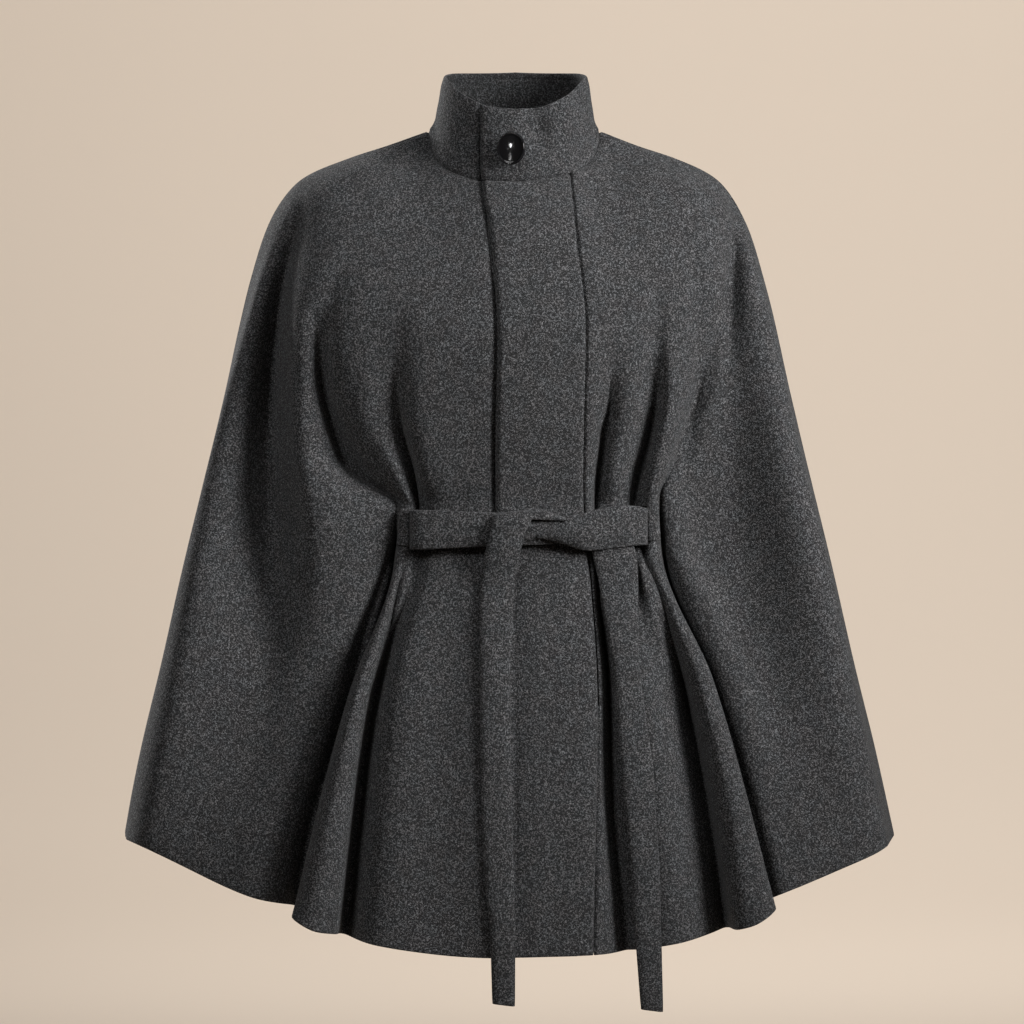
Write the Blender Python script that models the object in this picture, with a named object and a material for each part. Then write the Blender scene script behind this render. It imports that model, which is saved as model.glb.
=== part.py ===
"""Belted wool cape (poncho) with a stand collar, one button and a tied belt.

Metres, +Z up. The front faces -Y and the wearer's left is +X. The origin lies between the two
points where the shoulders meet the neck. Tables are in millimetres. A table's view_x or view_z
is read from straight in front, in the plane of the shoulders, and seen() carries it to its depth.
"""

import math

import bpy
import numpy as np
from mathutils import Vector
from mathutils.bvhtree import BVHTree

MM = 0.001
CLOTH = 2.5  # wall of the cape and belt
COLLAR_WALL = 3.0
WELT_WALL = 1.5
SEAM_GAP = 0.3  # between two pieces that are sewn together
WELT_GAP = 0.7  # under a slit's welt
SHARPEST = 0.4  # the most that a wall's corners reach out on a sharp fold is its half over this
LAP = 3.5  # from the under layer's middle to the top layer's, where the front overlaps
VIEW_DISTANCE = 4500.0
VIEW_HEIGHT = -382.0
SIDE_LIMIT = 0.999  # the furthest across its ring that a front line lies, short of the side seam
SETTLING = 6  # rounds in which a front point's depth and its place settle

BELT_TOP, BELT_LOW = 0.43, 0.49  # shares of the cloth between which the slits lie

# Rings of the cape from the neck seam (0) to the hem (1): half width, middle, depth in front and
# behind, heights in front, at the side and behind, and how late a ring climbs towards its side.
LEVELS = [
    # share, half, middle, front, back, z_front, z_side, z_back, climb
    (0.000, 85.0, 2.0, 68.0, 60.0, -57.0, -2.0, -3.0, 4.0),
    (0.050, 124.0, 0.5, 88.0, 74.0, -90.0, -16.5, -38.0, 3.6),
    (0.100, 162.0, 0.0, 101.0, 88.0, -126.0, -29.0, -75.0, 2.8),
    (0.165, 208.0, -3.0, 115.0, 99.0, -174.0, -51.0, -123.0, 2.3),
    (0.220, 235.0, -4.5, 121.0, 105.0, -216.0, -88.0, -165.0, 2.1),
    (0.300, 255.0, -5.0, 116.0, 109.0, -278.0, -148.0, -226.0, 2.2),
    (0.370, 268.5, -5.0, 106.0, 111.0, -330.0, -204.0, -280.0, 2.9),
    (0.430, 279.0, -4.5, 99.0, 113.0, -376.0, -252.0, -326.0, 4.0),
    (0.485, 289.0, -4.0, 100.0, 117.0, -419.0, -296.0, -368.0, 4.0),
    (0.560, 303.0, -4.0, 108.0, 125.0, -476.0, -355.0, -426.0, 3.2),
    (0.670, 323.5, -4.0, 123.0, 138.0, -560.0, -441.0, -510.0, 2.5),
    (0.780, 343.0, -3.5, 137.0, 154.0, -643.0, -528.0, -593.0, 2.2),
    (0.890, 364.5, -3.0, 150.0, 172.0, -727.0, -616.0, -676.0, 2.0),
    (1.000, 383.0, -2.0, 162.0, 192.0, -811.0, -704.0, -758.0, 1.9),
]

# Lines that run down the front, from the wearer's right side to the left: each fold's edge or
# core, each seam. view_x and the push out of the plain ring stand at these shares of the cloth.
STATIONS = (0.10, 0.22, 0.33, 0.40, BELT_TOP, BELT_LOW, 0.70, 1.00)
FRONT_LINES = [
    # name, angle at the neck, view_x at the stations, push at the stations, drop at the hem,
    # columns to the next
    ("side_right", -90, None, (0, 0, 0, 0, 0, 0, 0, 0), 0, 2),
    ("edge_right", -86, (-154, -229, -252, -264, -268, -277, -314, -366), (0, 0, 0, 0, 0, 0, 0, 0), 0, 2),
    ("wing_dip_right", -81, (-141, -215, -239, -240, -240, -240, -256, -286),
     (0, -2, -5, -6, -6, -8, -9, -6), -6, 2),
    ("wing_crest_right", -76, (-124, -193, -211, -196, -192, -184, -216, -256),
     (0, 0, 2, 10, 14, 10, -10, -6), -7, 2),
    ("wing_roll_right", -73, (-114, -185, -202, -160, -121, -125, -174, -219),
     (0, 0, 1, -1, -7, -15, -23, -35), -10, 2),
    ("swoop_right", -70, (-105, -175, -190, -145, -115, -117, -152, -194),
     (0, -2, -9, -16, -13, -32, -43, -55), -8, 2),
    ("ridge_out_right", -67, (-96, -164, -176, -130, -110.5, -113.5, -163, -219),
     (0, 0, 2, -4, -9, -9, -2, 14), -3, 1),
    ("ridge_top_right", -64, (-89, -152, -163, -122, -108, -109.5, -153, -194),
     (0, 1, 4, 0, -8, -7, 7, 22), 2, 1),
    ("slit_out_right", -61, (-82, -138, -144, -115, -105.5, -106, -140, -169),
     (0, 0, 3, -2, -8, -8, -3, 4), 1, 2),
    ("slit_in_right", -56, (-70, -114, -111, -97, -90, -93, -135, -162),
     (0, -1, -8, -13, -17, -17, -27, -27), 2, 2),
    ("panel_right", -49, (-59, -92, -88, -81, -76, -80, -114, -135),
     (0, 1, 2, -1, -6, -6, 2, 3), 2, 2),
    ("panel_mid_right", -36, (-42, -60, -55, -51, -51, -51, -64, -69),
     (0, 0, 0, 0, -3, -3, 1, 1), 1, 2),
    ("free_edge", -19, (-21, -11, -13, -14, -15, -15, -15, -16), (0, 0, 0, 0, -1, -1, 0, 0), 0, 2),
    ("placket_mid", 11, (25, 31, 31, 31, 31, 31, 33, 33), (0, 0, 0, 0, -1, -1, 0, 0), 0, 3),
    ("placket_seam", 40, (66, 75, 73, 72, 72, 76, 85, 81), (0, 0, 0, 0, -2, -2, 0, 0), 3, 2),
    ("fold_left", 47, (80, 103, 94, 87, 86, 83, 97, 116), (0, -1, -6, -8, -11, -11, -12, -15), 6, 2),
    ("panel_left", 52, (88, 123, 115, 103, 102, 101, 135, 166), (0, 1, 2, 1, -5, -5, 3, 4), 8, 2),
    ("slit_in_left", 57, (97, 145, 141, 126, 123, 124, 173, 214),
     (0, -1, -9, -13, -14, -14, -24, -28), 11, 2),
    ("slit_out_left", 61, (104, 158, 156, 140, 136.5, 138, 183, 227),
     (0, 1, 4, 2, -1, -1, 0, 14), 12, 1),
    ("ridge_top_left", 64, (110, 168, 165, 146, 140, 142, 191, 245),
     (0, 1, 4, 2, 0, 0, 9, 25), 12, 1),
    ("ridge_out_left", 67, (116, 176, 176, 153, 143.5, 146, 201, 263),
     (0, 0, 2, 0, -2, -3, 3, 18), 6, 2),
    ("swoop_left", 70, (122, 184, 186, 161, 147.5, 150, 187, 235),
     (0, -1, -4, -8, -9, -22, -34, -43), 2, 2),
    ("wing_roll_left", 73, (128, 192, 198, 170, 153, 157, 212, 272),
     (0, 0, 0, -2, -3, -8, -15, -18), -4, 1),
    ("wing_crest_left", 76, (134, 201, 208, 186, 175, 170, 226, 290), (0, 0, 2, 3, 3, 2, -6, -5), -4, 2),
    ("wing_dip_left", 81, (143, 214, 221, 221, 222, 224, 257, 321), (0, -2, -5, -6, -6, -6, -6, -3), -3, 2),
    ("edge_left", 86, (152, 222, 249, 260, 264, 273, 312, 364), (0, 0, 0, 0, 0, 0, 0, 0), 0, 2),
    ("side_left", 90, None, (0, 0, 0, 0, 0, 0, 0, 0), 0, 3),
]

# Soft folds of the back, which hangs free: where across (-1 to 1), half width there as a share,
# and how far each stands out at the shoulder blades, at the waist and at the hem.
BACK_FOLDS = [
    # across, spread, pushes at the last three of BACK_STATIONS
    (-0.78, 0.13, 1.0, 6.0, 20.0),
    (-0.55, 0.10, 0.0, -7.0, -20.0),
    (-0.30, 0.13, 1.0, 6.0, 21.0),
    (-0.04, 0.11, -1.0, -8.0, -19.0),
    (0.24, 0.14, 1.0, 7.0, 24.0),
    (0.50, 0.10, 0.0, -6.0, -18.0),
    (0.75, 0.12, 1.0, 5.0, 17.0),
]
BACK_STATIONS = (0.0, 0.22, 0.46, 1.0)
BACK_LINES = 31
BACK_COLUMNS = 1  # to the next line
YOKE_CLIMB = 3.0  # how late a ring climbs towards its side behind the neck

# Height of the neck seam as a share of the way from its front to its side, and of the rim.
NECK_CLIMB = [(0, 0.0), (20, 0.02), (40, 0.16), (60, 0.38), (75, 0.62), (90, 1.0)]
RIM_HEIGHT = [(0, 13.5), (20, 16.0), (30, 20.5), (50, 32.0), (72, 46.5), (90, 52.0), (120, 58.0), (180, 62.0)]
RIM_HALF, RIM_MIDDLE, RIM_FRONT, RIM_BACK = 70.5, 3.5, 62.0, 60.0
# How much of the neck seam's extra width the collar keeps, from the seam (0) to the rim (1).
COLLAR_FLARE = [(0.0, 1.0), (0.12, 0.68), (0.24, 0.52), (0.36, 0.45), (0.6, 0.29), (0.84, 0.16), (1.0, 0.0)]
COLLAR_ROWS = (1.0, 0.82, 0.6, 0.38, 0.2, 0.08, 0.0)

CAPE_ROWS = (
    0.0, 0.03, 0.065, 0.10, 0.14, 0.185, 0.23, 0.28, 0.33, 0.37, 0.40, 0.415, BELT_TOP, 0.46, BELT_LOW,
    0.525, 0.57, 0.63, 0.70, 0.77, 0.84, 0.92, 1.0,
)
UNDER_END = 2 / 3  # how far the under layer reaches from the placket's middle to its seam

# The belt's course inside and outside the cape, from the knot past the wearer's right slit,
# round the back of the waist, out of the left slit and back to the knot.
BELT_COURSE = [
    # x, y, z, width
    (44.0, -109.5, -399.5, 25.0),
    (15.0, -110.5, -399.5, 29.0),
    (-20.0, -109.5, -400.0, 32.0),
    (-50.0, -105.5, -400.5, 34.0),
    (-72.0, -100.5, -400.5, 35.0),
    (-85.0, -95.5, -400.5, 36.0),
    (-92.5, -89.5, -400.5, 36.0),
    (-97.0, -80.0, -400.5, 36.0),
    (-100.0, -67.0, -400.0, 36.0),
    (-104.0, -50.0, -399.5, 36.0),
    (-109.0, -28.0, -399.0, 36.0),
    (-110.0, 0.0, -398.0, 36.0),
    (-104.0, 30.0, -397.0, 36.0),
    (-86.0, 62.0, -397.0, 36.0),
    (-55.0, 84.0, -397.0, 36.0),
    (-15.0, 95.0, -397.0, 36.0),
    (40.0, 95.0, -397.0, 36.0),
    (84.0, 84.0, -397.0, 36.0),
    (116.0, 62.0, -397.0, 36.0),
    (134.0, 30.0, -397.0, 36.0),
    (140.0, 0.0, -397.0, 36.0),
    (139.0, -28.0, -397.0, 36.0),
    (134.5, -50.0, -397.0, 36.0),
    (131.0, -67.0, -397.0, 36.0),
    (128.0, -80.0, -397.0, 36.0),
    (123.0, -89.5, -397.0, 36.0),
    (114.0, -96.5, -397.0, 36.5),
    (99.0, -103.0, -397.5, 37.5),
    (82.0, -108.5, -399.5, 37.0),
    (68.0, -112.0, -402.0, 32.0),
    (56.0, -113.5, -400.5, 27.0),
    (46.0, -114.2, -402.5, 18.0),
    (36.0, -114.6, -405.0, 12.0),
    (12.0, -114.8, -408.0, 7.0),
]

# The tails: each row is a stretch across the band, given by its two ends. Where y is None the
# tail rests on what is behind it.
TAIL_RIGHT = [
    # view_z, view_x of the left end, view_x of the right end, y
    (-394.0, -17.0, 15.0, -104.7),
    (-387.0, -17.5, 17.0, -104.9),
    (-382.0, -18.0, 18.5, -107.2),
    (-380.3, -18.3, 19.0, -112.2),
    (-382.5, -18.8, 19.0, -117.2),
    (-392.0, -20.0, 17.0, -119.8),
    (-412.0, -24.0, 11.0, -119.8),
    (-430.0, -28.0, 7.0, -117.5),
    (-452.0, -31.0, 2.0, -114.5),
    (-490.0, -32.0, -1.0, None),
    (-534.0, -32.5, -3.0, None),
    (-610.0, -31.0, -2.0, None),
    (-690.0, -29.5, -1.0, None),
    (-770.0, -25.0, 0.5, None),
    (-822.0, -21.0, 1.0, None),
    (-873.5, -19.0, 1.0, None),
]
TAIL_LEFT = [
    (-413.0, 79.0, 119.0, None),
    (-437.0, 83.0, 124.0, None),
    (-452.0, 89.0, 125.0, None),
    (-497.0, 95.0, 125.0, None),
    (-534.0, 100.0, 126.0, None),
    (-590.0, 106.0, 133.0, None),
    (-650.0, 111.0, 140.0, None),
    (-733.0, 118.0, 145.0, None),
    (-790.0, 121.0, 147.0, None),
    (-822.0, 124.0, 147.5, None),
    (-880.0, 128.0, 149.0, None),
]
TAIL_CLEAR = 0.9  # between a tail and the panel that it rests on
TAIL_SPAN = 16.0  # how far up and down from a row the panel is felt for
IN_FRONT = -300.0  # a depth ahead of the whole garment

# The loop of cloth over the knot: an arch from front to back at each x.
KNOT = [
    # x, heights at its front edge, its top and its back edge
    (20.2, -393.0, -380.5, -391.0),
    (29.0, -392.0, -380.6, -390.5),
    (37.0, -391.0, -381.8, -390.0),
    (44.0, -391.0, -384.0, -390.0),
    (50.0, -392.0, -386.6, -391.0),
]
KNOT_DEPTH = -112.0  # y of the arch's top
KNOT_REACH = 7.0  # from its top to its front or back edge
KNOT_HAUNCH = 0.8  # the arch's haunches lie at this share of its reach

BUTTON_CENTRE = (-1.5, -79.0, -24.5)
BUTTON_TURN = 20.0  # degrees, towards the wearer's right
BUTTON_SIDES = 40
BUTTON_RADIUS = 16.1
BUTTON_SQUEEZE = 0.907  # its width over its height
BUTTON_THICK = 4.2
BUTTON_RIM = 2.4  # width of the raised rim
RIM_RISE = 0.25  # of the rim's crest over its outer shoulder
RIM_BEVEL = 0.9
BUTTON_DISH = 1.0  # depth of the middle under the rim's shoulder
SHANK_RADIUS, SHANK_LENGTH = 3.4, 7.6

SHARP_EDGE = 50.0  # degrees past which an edge is shaded sharp

FINISHES = {
    # slot: colour, roughness
    "wool": ((0.045, 0.047, 0.052), 0.9),
    "belt": ((0.047, 0.048, 0.053), 0.9),
    "button": ((0.006, 0.006, 0.007), 0.15),
}


def seen(view_x, view_z, y):
    """A point read from straight in front, at depth y."""
    nearer = 1 + y / VIEW_DISTANCE
    return np.array([view_x * nearer, y, VIEW_HEIGHT + (view_z - VIEW_HEIGHT) * nearer])


def smooth_through(xs, ys, x):
    """The value at x of a smooth curve through the points, which never swings past them."""
    xs, ys = np.asarray(xs, float), np.asarray(ys, float)
    steps = np.diff(xs)
    slopes = np.diff(ys) / steps
    ends = np.zeros(len(xs))
    ends[0], ends[-1] = slopes[0], slopes[-1]
    for i in range(1, len(xs) - 1):
        before, after = slopes[i - 1], slopes[i]
        if before * after > 0:
            wide, narrow = 2 * steps[i] + steps[i - 1], steps[i] + 2 * steps[i - 1]
            ends[i] = (wide + narrow) / (wide / before + narrow / after)
    i = int(np.clip(np.searchsorted(xs, x) - 1, 0, len(steps) - 1))
    t = (x - xs[i]) / steps[i]
    level = (1 + 2 * t) * (1 - t) ** 2 * ys[i] + t * t * (3 - 2 * t) * ys[i + 1]
    return level + steps[i] * (t * (1 - t) ** 2 * ends[i] - t * t * (1 - t) * ends[i + 1])


def ease(t):
    t = min(max(t, 0.0), 1.0)
    return t * t * (3 - 2 * t)


def level(share):
    """The ring's sizes at this share of the cloth's length."""
    table = np.array(LEVELS)
    return [smooth_through(table[:, 0], table[:, k], share) for k in range(1, table.shape[1])]


def front_height(share, across, sizes):
    """Height of a front point that lies this far across its ring, from -1 to 1."""
    z_front, z_side, climb = sizes[4], sizes[5], sizes[7]
    part = min(abs(across), 1.0)
    rise = part**climb
    if share < STATIONS[0]:
        angle = math.degrees(math.asin(part))
        neck = smooth_through(*zip(*NECK_CLIMB), angle)
        rise = neck + (rise - neck) * ease(share / STATIONS[0])
    return z_front + (z_side - z_front) * rise


def front_point(line, share):
    """Where this line of FRONT_LINES crosses the ring at this share."""
    _, angle, places, pushes, drop, _ = line
    sizes = level(share)
    half, middle, front = sizes[:3]
    if places is None:
        across = math.copysign(1.0, angle)
        return np.array([middle + across * half, 0.0, front_height(share, across, sizes)])
    _, neck_half, neck_middle, neck_front = LEVELS[0][:4]
    neck_x = neck_middle + neck_half * math.sin(math.radians(angle))
    neck_y = -neck_front * math.cos(math.radians(angle))
    neck_place = neck_x / (1 + neck_y / VIEW_DISTANCE)
    push = smooth_through((0.0,) + STATIONS, (0.0,) + pushes, share)
    place = smooth_through((0.0,) + STATIONS, (neck_place,) + places, share)
    y = -front
    for _ in range(SETTLING):
        x = place * (1 + y / VIEW_DISTANCE)
        across = np.clip((x - middle) / half, -SIDE_LIMIT, SIDE_LIMIT)
        y = -front * math.sqrt(1 - across**2) - push
    longer = drop * ease((share - BELT_LOW) / (1 - BELT_LOW))
    return np.array([x, y, front_height(share, across, sizes) - longer])


def back_push(across, share):
    """How far the back's folds stand out here, all together."""
    total = 0.0
    for centre, spread, *pushes in BACK_FOLDS:
        push = smooth_through(BACK_STATIONS, [0.0] + pushes, share)
        total += push * math.exp(-(((across - centre) / spread) ** 2))
    return total


def back_point(turn, share):
    """turn runs from 0 at the wearer's left side seam to 1 at the right one."""
    half, middle, _, back, _, z_side, z_back, climb = level(share)
    across = math.cos(math.pi * turn)
    square = math.sin(math.pi * turn)
    rise = abs(across) ** (climb if share >= STATIONS[0] else YOKE_CLIMB)
    x = middle + half * across
    y = back * square + back_push(across, share) * math.sqrt(square)
    return np.array([x, y, z_back + (z_side - z_back) * rise])


def ring(share):
    """The points of one ring: the front's lines from right to left, then the back's."""
    points = [front_point(line, share) for line in FRONT_LINES]
    turns = [(k + 1) / (BACK_LINES + 1) for k in range(BACK_LINES)]
    return np.array(points + [back_point(turn, share) for turn in turns])


def along_ring(points, place):
    """A point of the smooth closed curve through the ring's points."""
    count = len(points)
    i = math.floor(place)
    t = place - i
    a, b, c, d = (points[(i + k) % count] for k in (-1, 0, 1, 2))
    if t == 0:
        return b.copy()
    reach = [max(np.linalg.norm(q - p), 1e-6) ** 0.5 for p, q in ((a, b), (b, c), (c, d))]
    leave = (b - a) / reach[0] - (c - a) / (reach[0] + reach[1]) + (c - b) / reach[1]
    arrive = (c - b) / reach[1] - (d - b) / (reach[1] + reach[2]) + (d - c) / reach[2]
    leave, arrive = leave * reach[1], arrive * reach[1]
    base = (1 + 2 * t) * (1 - t) ** 2 * b + t * t * (3 - 2 * t) * c
    return base + t * (1 - t) ** 2 * leave - t * t * (1 - t) * arrive


def collar_point(neck_point, rise):
    """The collar's point above this point of the neck seam; rise is 0 there and 1 at the rim."""
    _, half, middle, front, back = LEVELS[0][:5]
    sine = np.clip((neck_point[0] - middle) / half, -1, 1)
    depth = front if neck_point[1] < 0 else back
    cosine = -neck_point[1] / depth
    angle = math.degrees(math.atan2(sine, cosine))
    sine, cosine = math.sin(math.radians(angle)), math.cos(math.radians(angle))
    rim_depth = RIM_FRONT if cosine > 0 else RIM_BACK
    rim = np.array([RIM_MIDDLE + RIM_HALF * sine, -rim_depth * cosine, 0.0])
    rim[2] = smooth_through(*zip(*RIM_HEIGHT), abs(angle))
    kept = smooth_through(*zip(*COLLAR_FLARE), rise)
    point = rim + (neck_point - rim) * kept
    point[2] = neck_point[2] + (rim[2] - neck_point[2]) * rise
    return point


NAMES = [line[0] for line in FRONT_LINES]
RING_COUNT = len(FRONT_LINES) + BACK_LINES


def columns_after(index):
    """How many columns lie between this line of the ring and the next."""
    index %= RING_COUNT
    return FRONT_LINES[index][-1] if index < len(FRONT_LINES) else BACK_COLUMNS


def spiral_places():
    """Places along the ring from the under layer's end, round the back, to the free edge."""
    place = NAMES.index("placket_mid") + UNDER_END
    end = NAMES.index("free_edge") - RING_COUNT
    places = []
    while place > end:
        line = math.ceil(place) - 1
        columns = columns_after(line)
        places += [place + (line - place) * k / columns for k in range(columns)]
        place = line
    return places + [end]


def lap_of(place):
    """How far the top layer is moved out at this place of the spiral."""
    seam = NAMES.index("placket_seam") - RING_COUNT
    flat = NAMES.index("slit_in_left") - RING_COUNT
    return LAP * (1 - ease((place - seam) / (flat - seam)))


def cell_normals(grid):
    """The unit normal of each cell between four of the grid's points."""
    across = grid[1:, 1:] - grid[:-1, :-1]
    down = grid[1:, :-1] - grid[:-1, 1:]
    faces = np.cross(across, down)
    return faces / np.maximum(np.linalg.norm(faces, axis=2, keepdims=True), 1e-9)


def each_corner(faces):
    """For each corner that a cell has, the part of the grid whose points are that corner."""
    rows, columns = faces.shape[:2]
    for i in (0, 1):
        for j in (0, 1):
            yield slice(i, i + rows), slice(j, j + columns)


def normals_of(grid):
    """At each point, the direction halfway between the cells that meet there."""
    faces = cell_normals(grid)
    total = np.zeros(grid.shape)
    for part in each_corner(faces):
        total[part] += faces
    return total / np.maximum(np.linalg.norm(total, axis=2, keepdims=True), 1e-9)


def face_share(grid, normals):
    """How squarely each point's neighbouring cells meet its normal."""
    faces = cell_normals(grid)
    total = np.zeros(grid.shape[:2])
    count = np.zeros(grid.shape[:2])
    for part in each_corner(faces):
        total[part] += (faces * normals[part]).sum(axis=2)
        count[part] += 1
    return np.clip(total / count, SHARPEST, 1.0)


def pulled_in(grid, sides, gap, squareness):
    """The grid with the named sides moved inwards, which leaves room for a seam."""
    grid = grid.copy()
    edges = {"top": (0, 1, 0), "bottom": (-1, -2, 0), "first": (0, 1, 1), "last": (-1, -2, 1)}
    for side in sides:
        edge, inner, axis = edges[side]
        view = grid if axis == 0 else grid.swapaxes(0, 1)
        square = squareness if axis == 0 else squareness.T
        step = view[inner] - view[edge]
        reach = gap / square[edge][:, None]
        view[edge] += reach * step / np.linalg.norm(step, axis=1, keepdims=True)
    return grid


def shell(name, grid, normals, wall, finish, holes=(), squareness=None):
    """One closed body: the grid thickened to both sides of its middle surface."""
    if squareness is None:
        squareness = face_share(grid, normals)
    reach = normals * (wall / 2) / squareness[:, :, None]
    rows, columns = grid.shape[:2]
    points = np.concatenate([(grid + reach).reshape(-1, 3), (grid - reach).reshape(-1, 3)])
    below = rows * columns
    faces = []
    rim = set()
    for i in range(rows - 1):
        for j in range(columns - 1):
            if (i, j) in holes:
                continue
            corner = i * columns + j
            quad = (corner, corner + 1, corner + columns + 1, corner + columns)
            faces.append(quad)
            faces.append(tuple(k + below for k in reversed(quad)))
            for p, q in zip(quad, quad[1:] + quad[:1]):
                if (q, p) in rim:
                    rim.remove((q, p))
                else:
                    rim.add((p, q))
    faces += [(q, p, p + below, q + below) for p, q in sorted(rim)]
    used = sorted({k for face in faces for k in face})
    order = {old: new for new, old in enumerate(used)}
    faces = [tuple(order[k] for k in face) for face in faces]
    body(name, points[used], faces, finish)


def body(name, points, faces, finish):
    """One object from points in millimetres and faces that all turn the same way."""
    points = np.asarray(points) * MM
    corners = [(face[0], face[k], face[k + 1]) for face in faces for k in range(1, len(face) - 1)]
    volume = sum(np.dot(points[a], np.cross(points[b], points[c])) for a, b, c in corners)
    if volume < 0:
        faces = [tuple(reversed(face)) for face in faces]
    mesh = bpy.data.meshes.new(name)
    mesh.from_pydata([tuple(point) for point in points], [], faces)
    mesh.materials.append(material(name, finish))
    mesh.shade_smooth()
    mesh.set_sharp_from_angle(angle=math.radians(SHARP_EDGE))
    bpy.context.scene.collection.objects.link(bpy.data.objects.new(name, mesh))


def material(name, finish):
    colour, roughness = FINISHES[finish]
    made = bpy.data.materials.new(name)
    made.use_nodes = True
    shader = made.node_tree.nodes["Principled BSDF"]
    shader.inputs["Base Color"].default_value = (*colour, 1)
    shader.inputs["Roughness"].default_value = roughness
    shader.inputs["Metallic"].default_value = 0.0
    return made


def cape_grid():
    """Places of the columns, the middle surface of collar and cape, and its normals."""
    places = spiral_places()
    rows = []
    neck = ring(0.0)
    neck_points = [along_ring(neck, place) for place in places]
    for rise in COLLAR_ROWS[:-1]:
        rows.append([collar_point(point, rise) for point in neck_points])
    for share in CAPE_ROWS:
        points = ring(share)
        rows.append([along_ring(points, place) for place in places])
    grid = np.array(rows)
    normals = normals_of(grid)
    laps = np.array([lap_of(place) for place in places])
    grid = grid + normals * laps[None, :, None]
    return places, grid, normals_of(grid)


def column_of(places, name, top_layer=False):
    """The column that runs along this line; the top layer's lines lie past the back."""
    place = NAMES.index(name) - (RING_COUNT if top_layer else 0)
    return int(np.argmin(np.abs(np.array(places) - place)))


def between(places, lines, top_layer):
    """The columns of two lines, the first of the two columns first."""
    return sorted(column_of(places, line, top_layer) for line in lines)


def make_cape():
    """The collar, fronts, placket, back and slit welts, all cut from one surface."""
    places, grid, normals = cape_grid()
    squareness = face_share(grid, normals)
    neck = len(COLLAR_ROWS) - 1
    belt_rows = (neck + CAPE_ROWS.index(BELT_TOP), neck + CAPE_ROWS.index(BELT_LOW))
    last_row, last_column = len(grid) - 1, len(places) - 1
    side_right = column_of(places, "side_right")
    side_left = column_of(places, "side_left", True)
    placket_seam = column_of(places, "placket_seam", True)
    slits = {
        "front_right": between(places, ("slit_in_right", "slit_out_right"), False),
        "front_left": between(places, ("slit_in_left", "slit_out_left"), True),
    }
    for name, rows, columns, seams, wall in (
        ("collar", (0, neck), (0, last_column), ("bottom",), COLLAR_WALL),
        ("front_right", (neck, last_row), (0, side_right), ("top", "last"), CLOTH),
        ("back", (neck, last_row), (side_right, side_left), ("top", "first", "last"), CLOTH),
        ("front_left", (neck, last_row), (side_left, placket_seam), ("top", "first", "last"), CLOTH),
        ("front_placket", (neck, last_row), (placket_seam, last_column), ("top", "first"), CLOTH),
    ):
        part = (slice(rows[0], rows[1] + 1), slice(columns[0], columns[1] + 1))
        holes = {
            (i - rows[0], j - columns[0])
            for i in range(*belt_rows)
            for j in range(*slits.get(name, (0, 0)))
        }
        middle = pulled_in(grid[part], seams, SEAM_GAP / 2, squareness[part])
        shell(name, middle, normals[part], wall, "wool", holes, squareness[part])

    out = CLOTH / 2 + WELT_GAP + WELT_WALL / 2
    for name, lines, top_layer in (
        ("slit_welt_right", ("slit_out_right", "ridge_out_right"), False),
        ("slit_welt_left", ("slit_out_left", "ridge_out_left"), True),
    ):
        first, last = between(places, lines, top_layer)
        part = (slice(belt_rows[0], belt_rows[1] + 1), slice(first, last + 1))
        moved = grid[part] + normals[part] * (out / squareness[part])[:, :, None]
        shell(name, moved, normals[part], WELT_WALL, "wool")


def panels(names):
    """The named bodies' surfaces, in millimetres, to rest things on."""
    points, faces = [], []
    for name in names:
        mesh = bpy.data.objects[name].data
        first = len(points)
        points += [vertex.co / MM for vertex in mesh.vertices]
        faces += [tuple(k + first for k in face.vertices) for face in mesh.polygons]
    return BVHTree.FromPolygons(points, faces)


def through(rows, per_step):
    """Rows of a smooth curve through the table's rows."""
    rows = np.array(rows, float)
    ends = np.concatenate([[2 * rows[0] - rows[1]], rows, [2 * rows[-1] - rows[-2]]])
    made = []
    for i in range(1, len(ends) - 2):
        a, b, c, d = ends[i - 1 : i + 3]
        for k in range(per_step):
            t = k / per_step
            made.append(
                0.5 * (2 * b + (c - a) * t + (2 * a - 5 * b + 4 * c - d) * t**2
                       + (3 * b - a - 3 * c + d) * t**3)
            )
    made.append(ends[-2])
    return made


def resting(table, front):
    """A tail's middle surface: three points across at each row, clear of what is behind it."""
    rows = []
    ends = None
    for view_z, left, right, y in table:
        ends = (y, y) if y else front_behind(view_z, left, right, front) or ends
        rows.append((view_z, left, right, *ends))
    grid = []
    for view_z, left, right, y_left, y_right in through(rows, 2):
        grid.append([
            seen(left + (right - left) * part, view_z, y_left + (y_right - y_left) * part)
            for part in (0.0, 0.5, 1.0)
        ])
    return np.array(grid)


def front_behind(view_z, left, right, front):
    """Depths of a straight stretch's two ends that clear the panels behind it."""
    samples = []
    for part in np.linspace(0, 1, 9):
        view_x = left + (right - left) * part
        for step in (-TAIL_SPAN, -TAIL_SPAN / 2, 0.0, TAIL_SPAN / 2, TAIL_SPAN):
            origin = seen(view_x, view_z + step, IN_FRONT)
            target = seen(view_x, view_z + step, 0.0)
            hit = front.ray_cast(Vector(origin), Vector(target - origin))[0]
            if hit:
                samples.append((part, hit.y))
    if not samples:
        return None
    first = min(y for part, y in samples if part == samples[0][0])
    last = min(y for part, y in samples if part == samples[-1][0])
    ahead = min(y - (first + (last - first) * part) for part, y in samples)
    move = min(ahead, 0.0) - CLOTH / 2 - TAIL_CLEAR
    return first + move, last + move


def make_band(name, grid):
    grid = np.array(grid)
    shell(name, grid, normals_of(grid), CLOTH, "belt")


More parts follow.
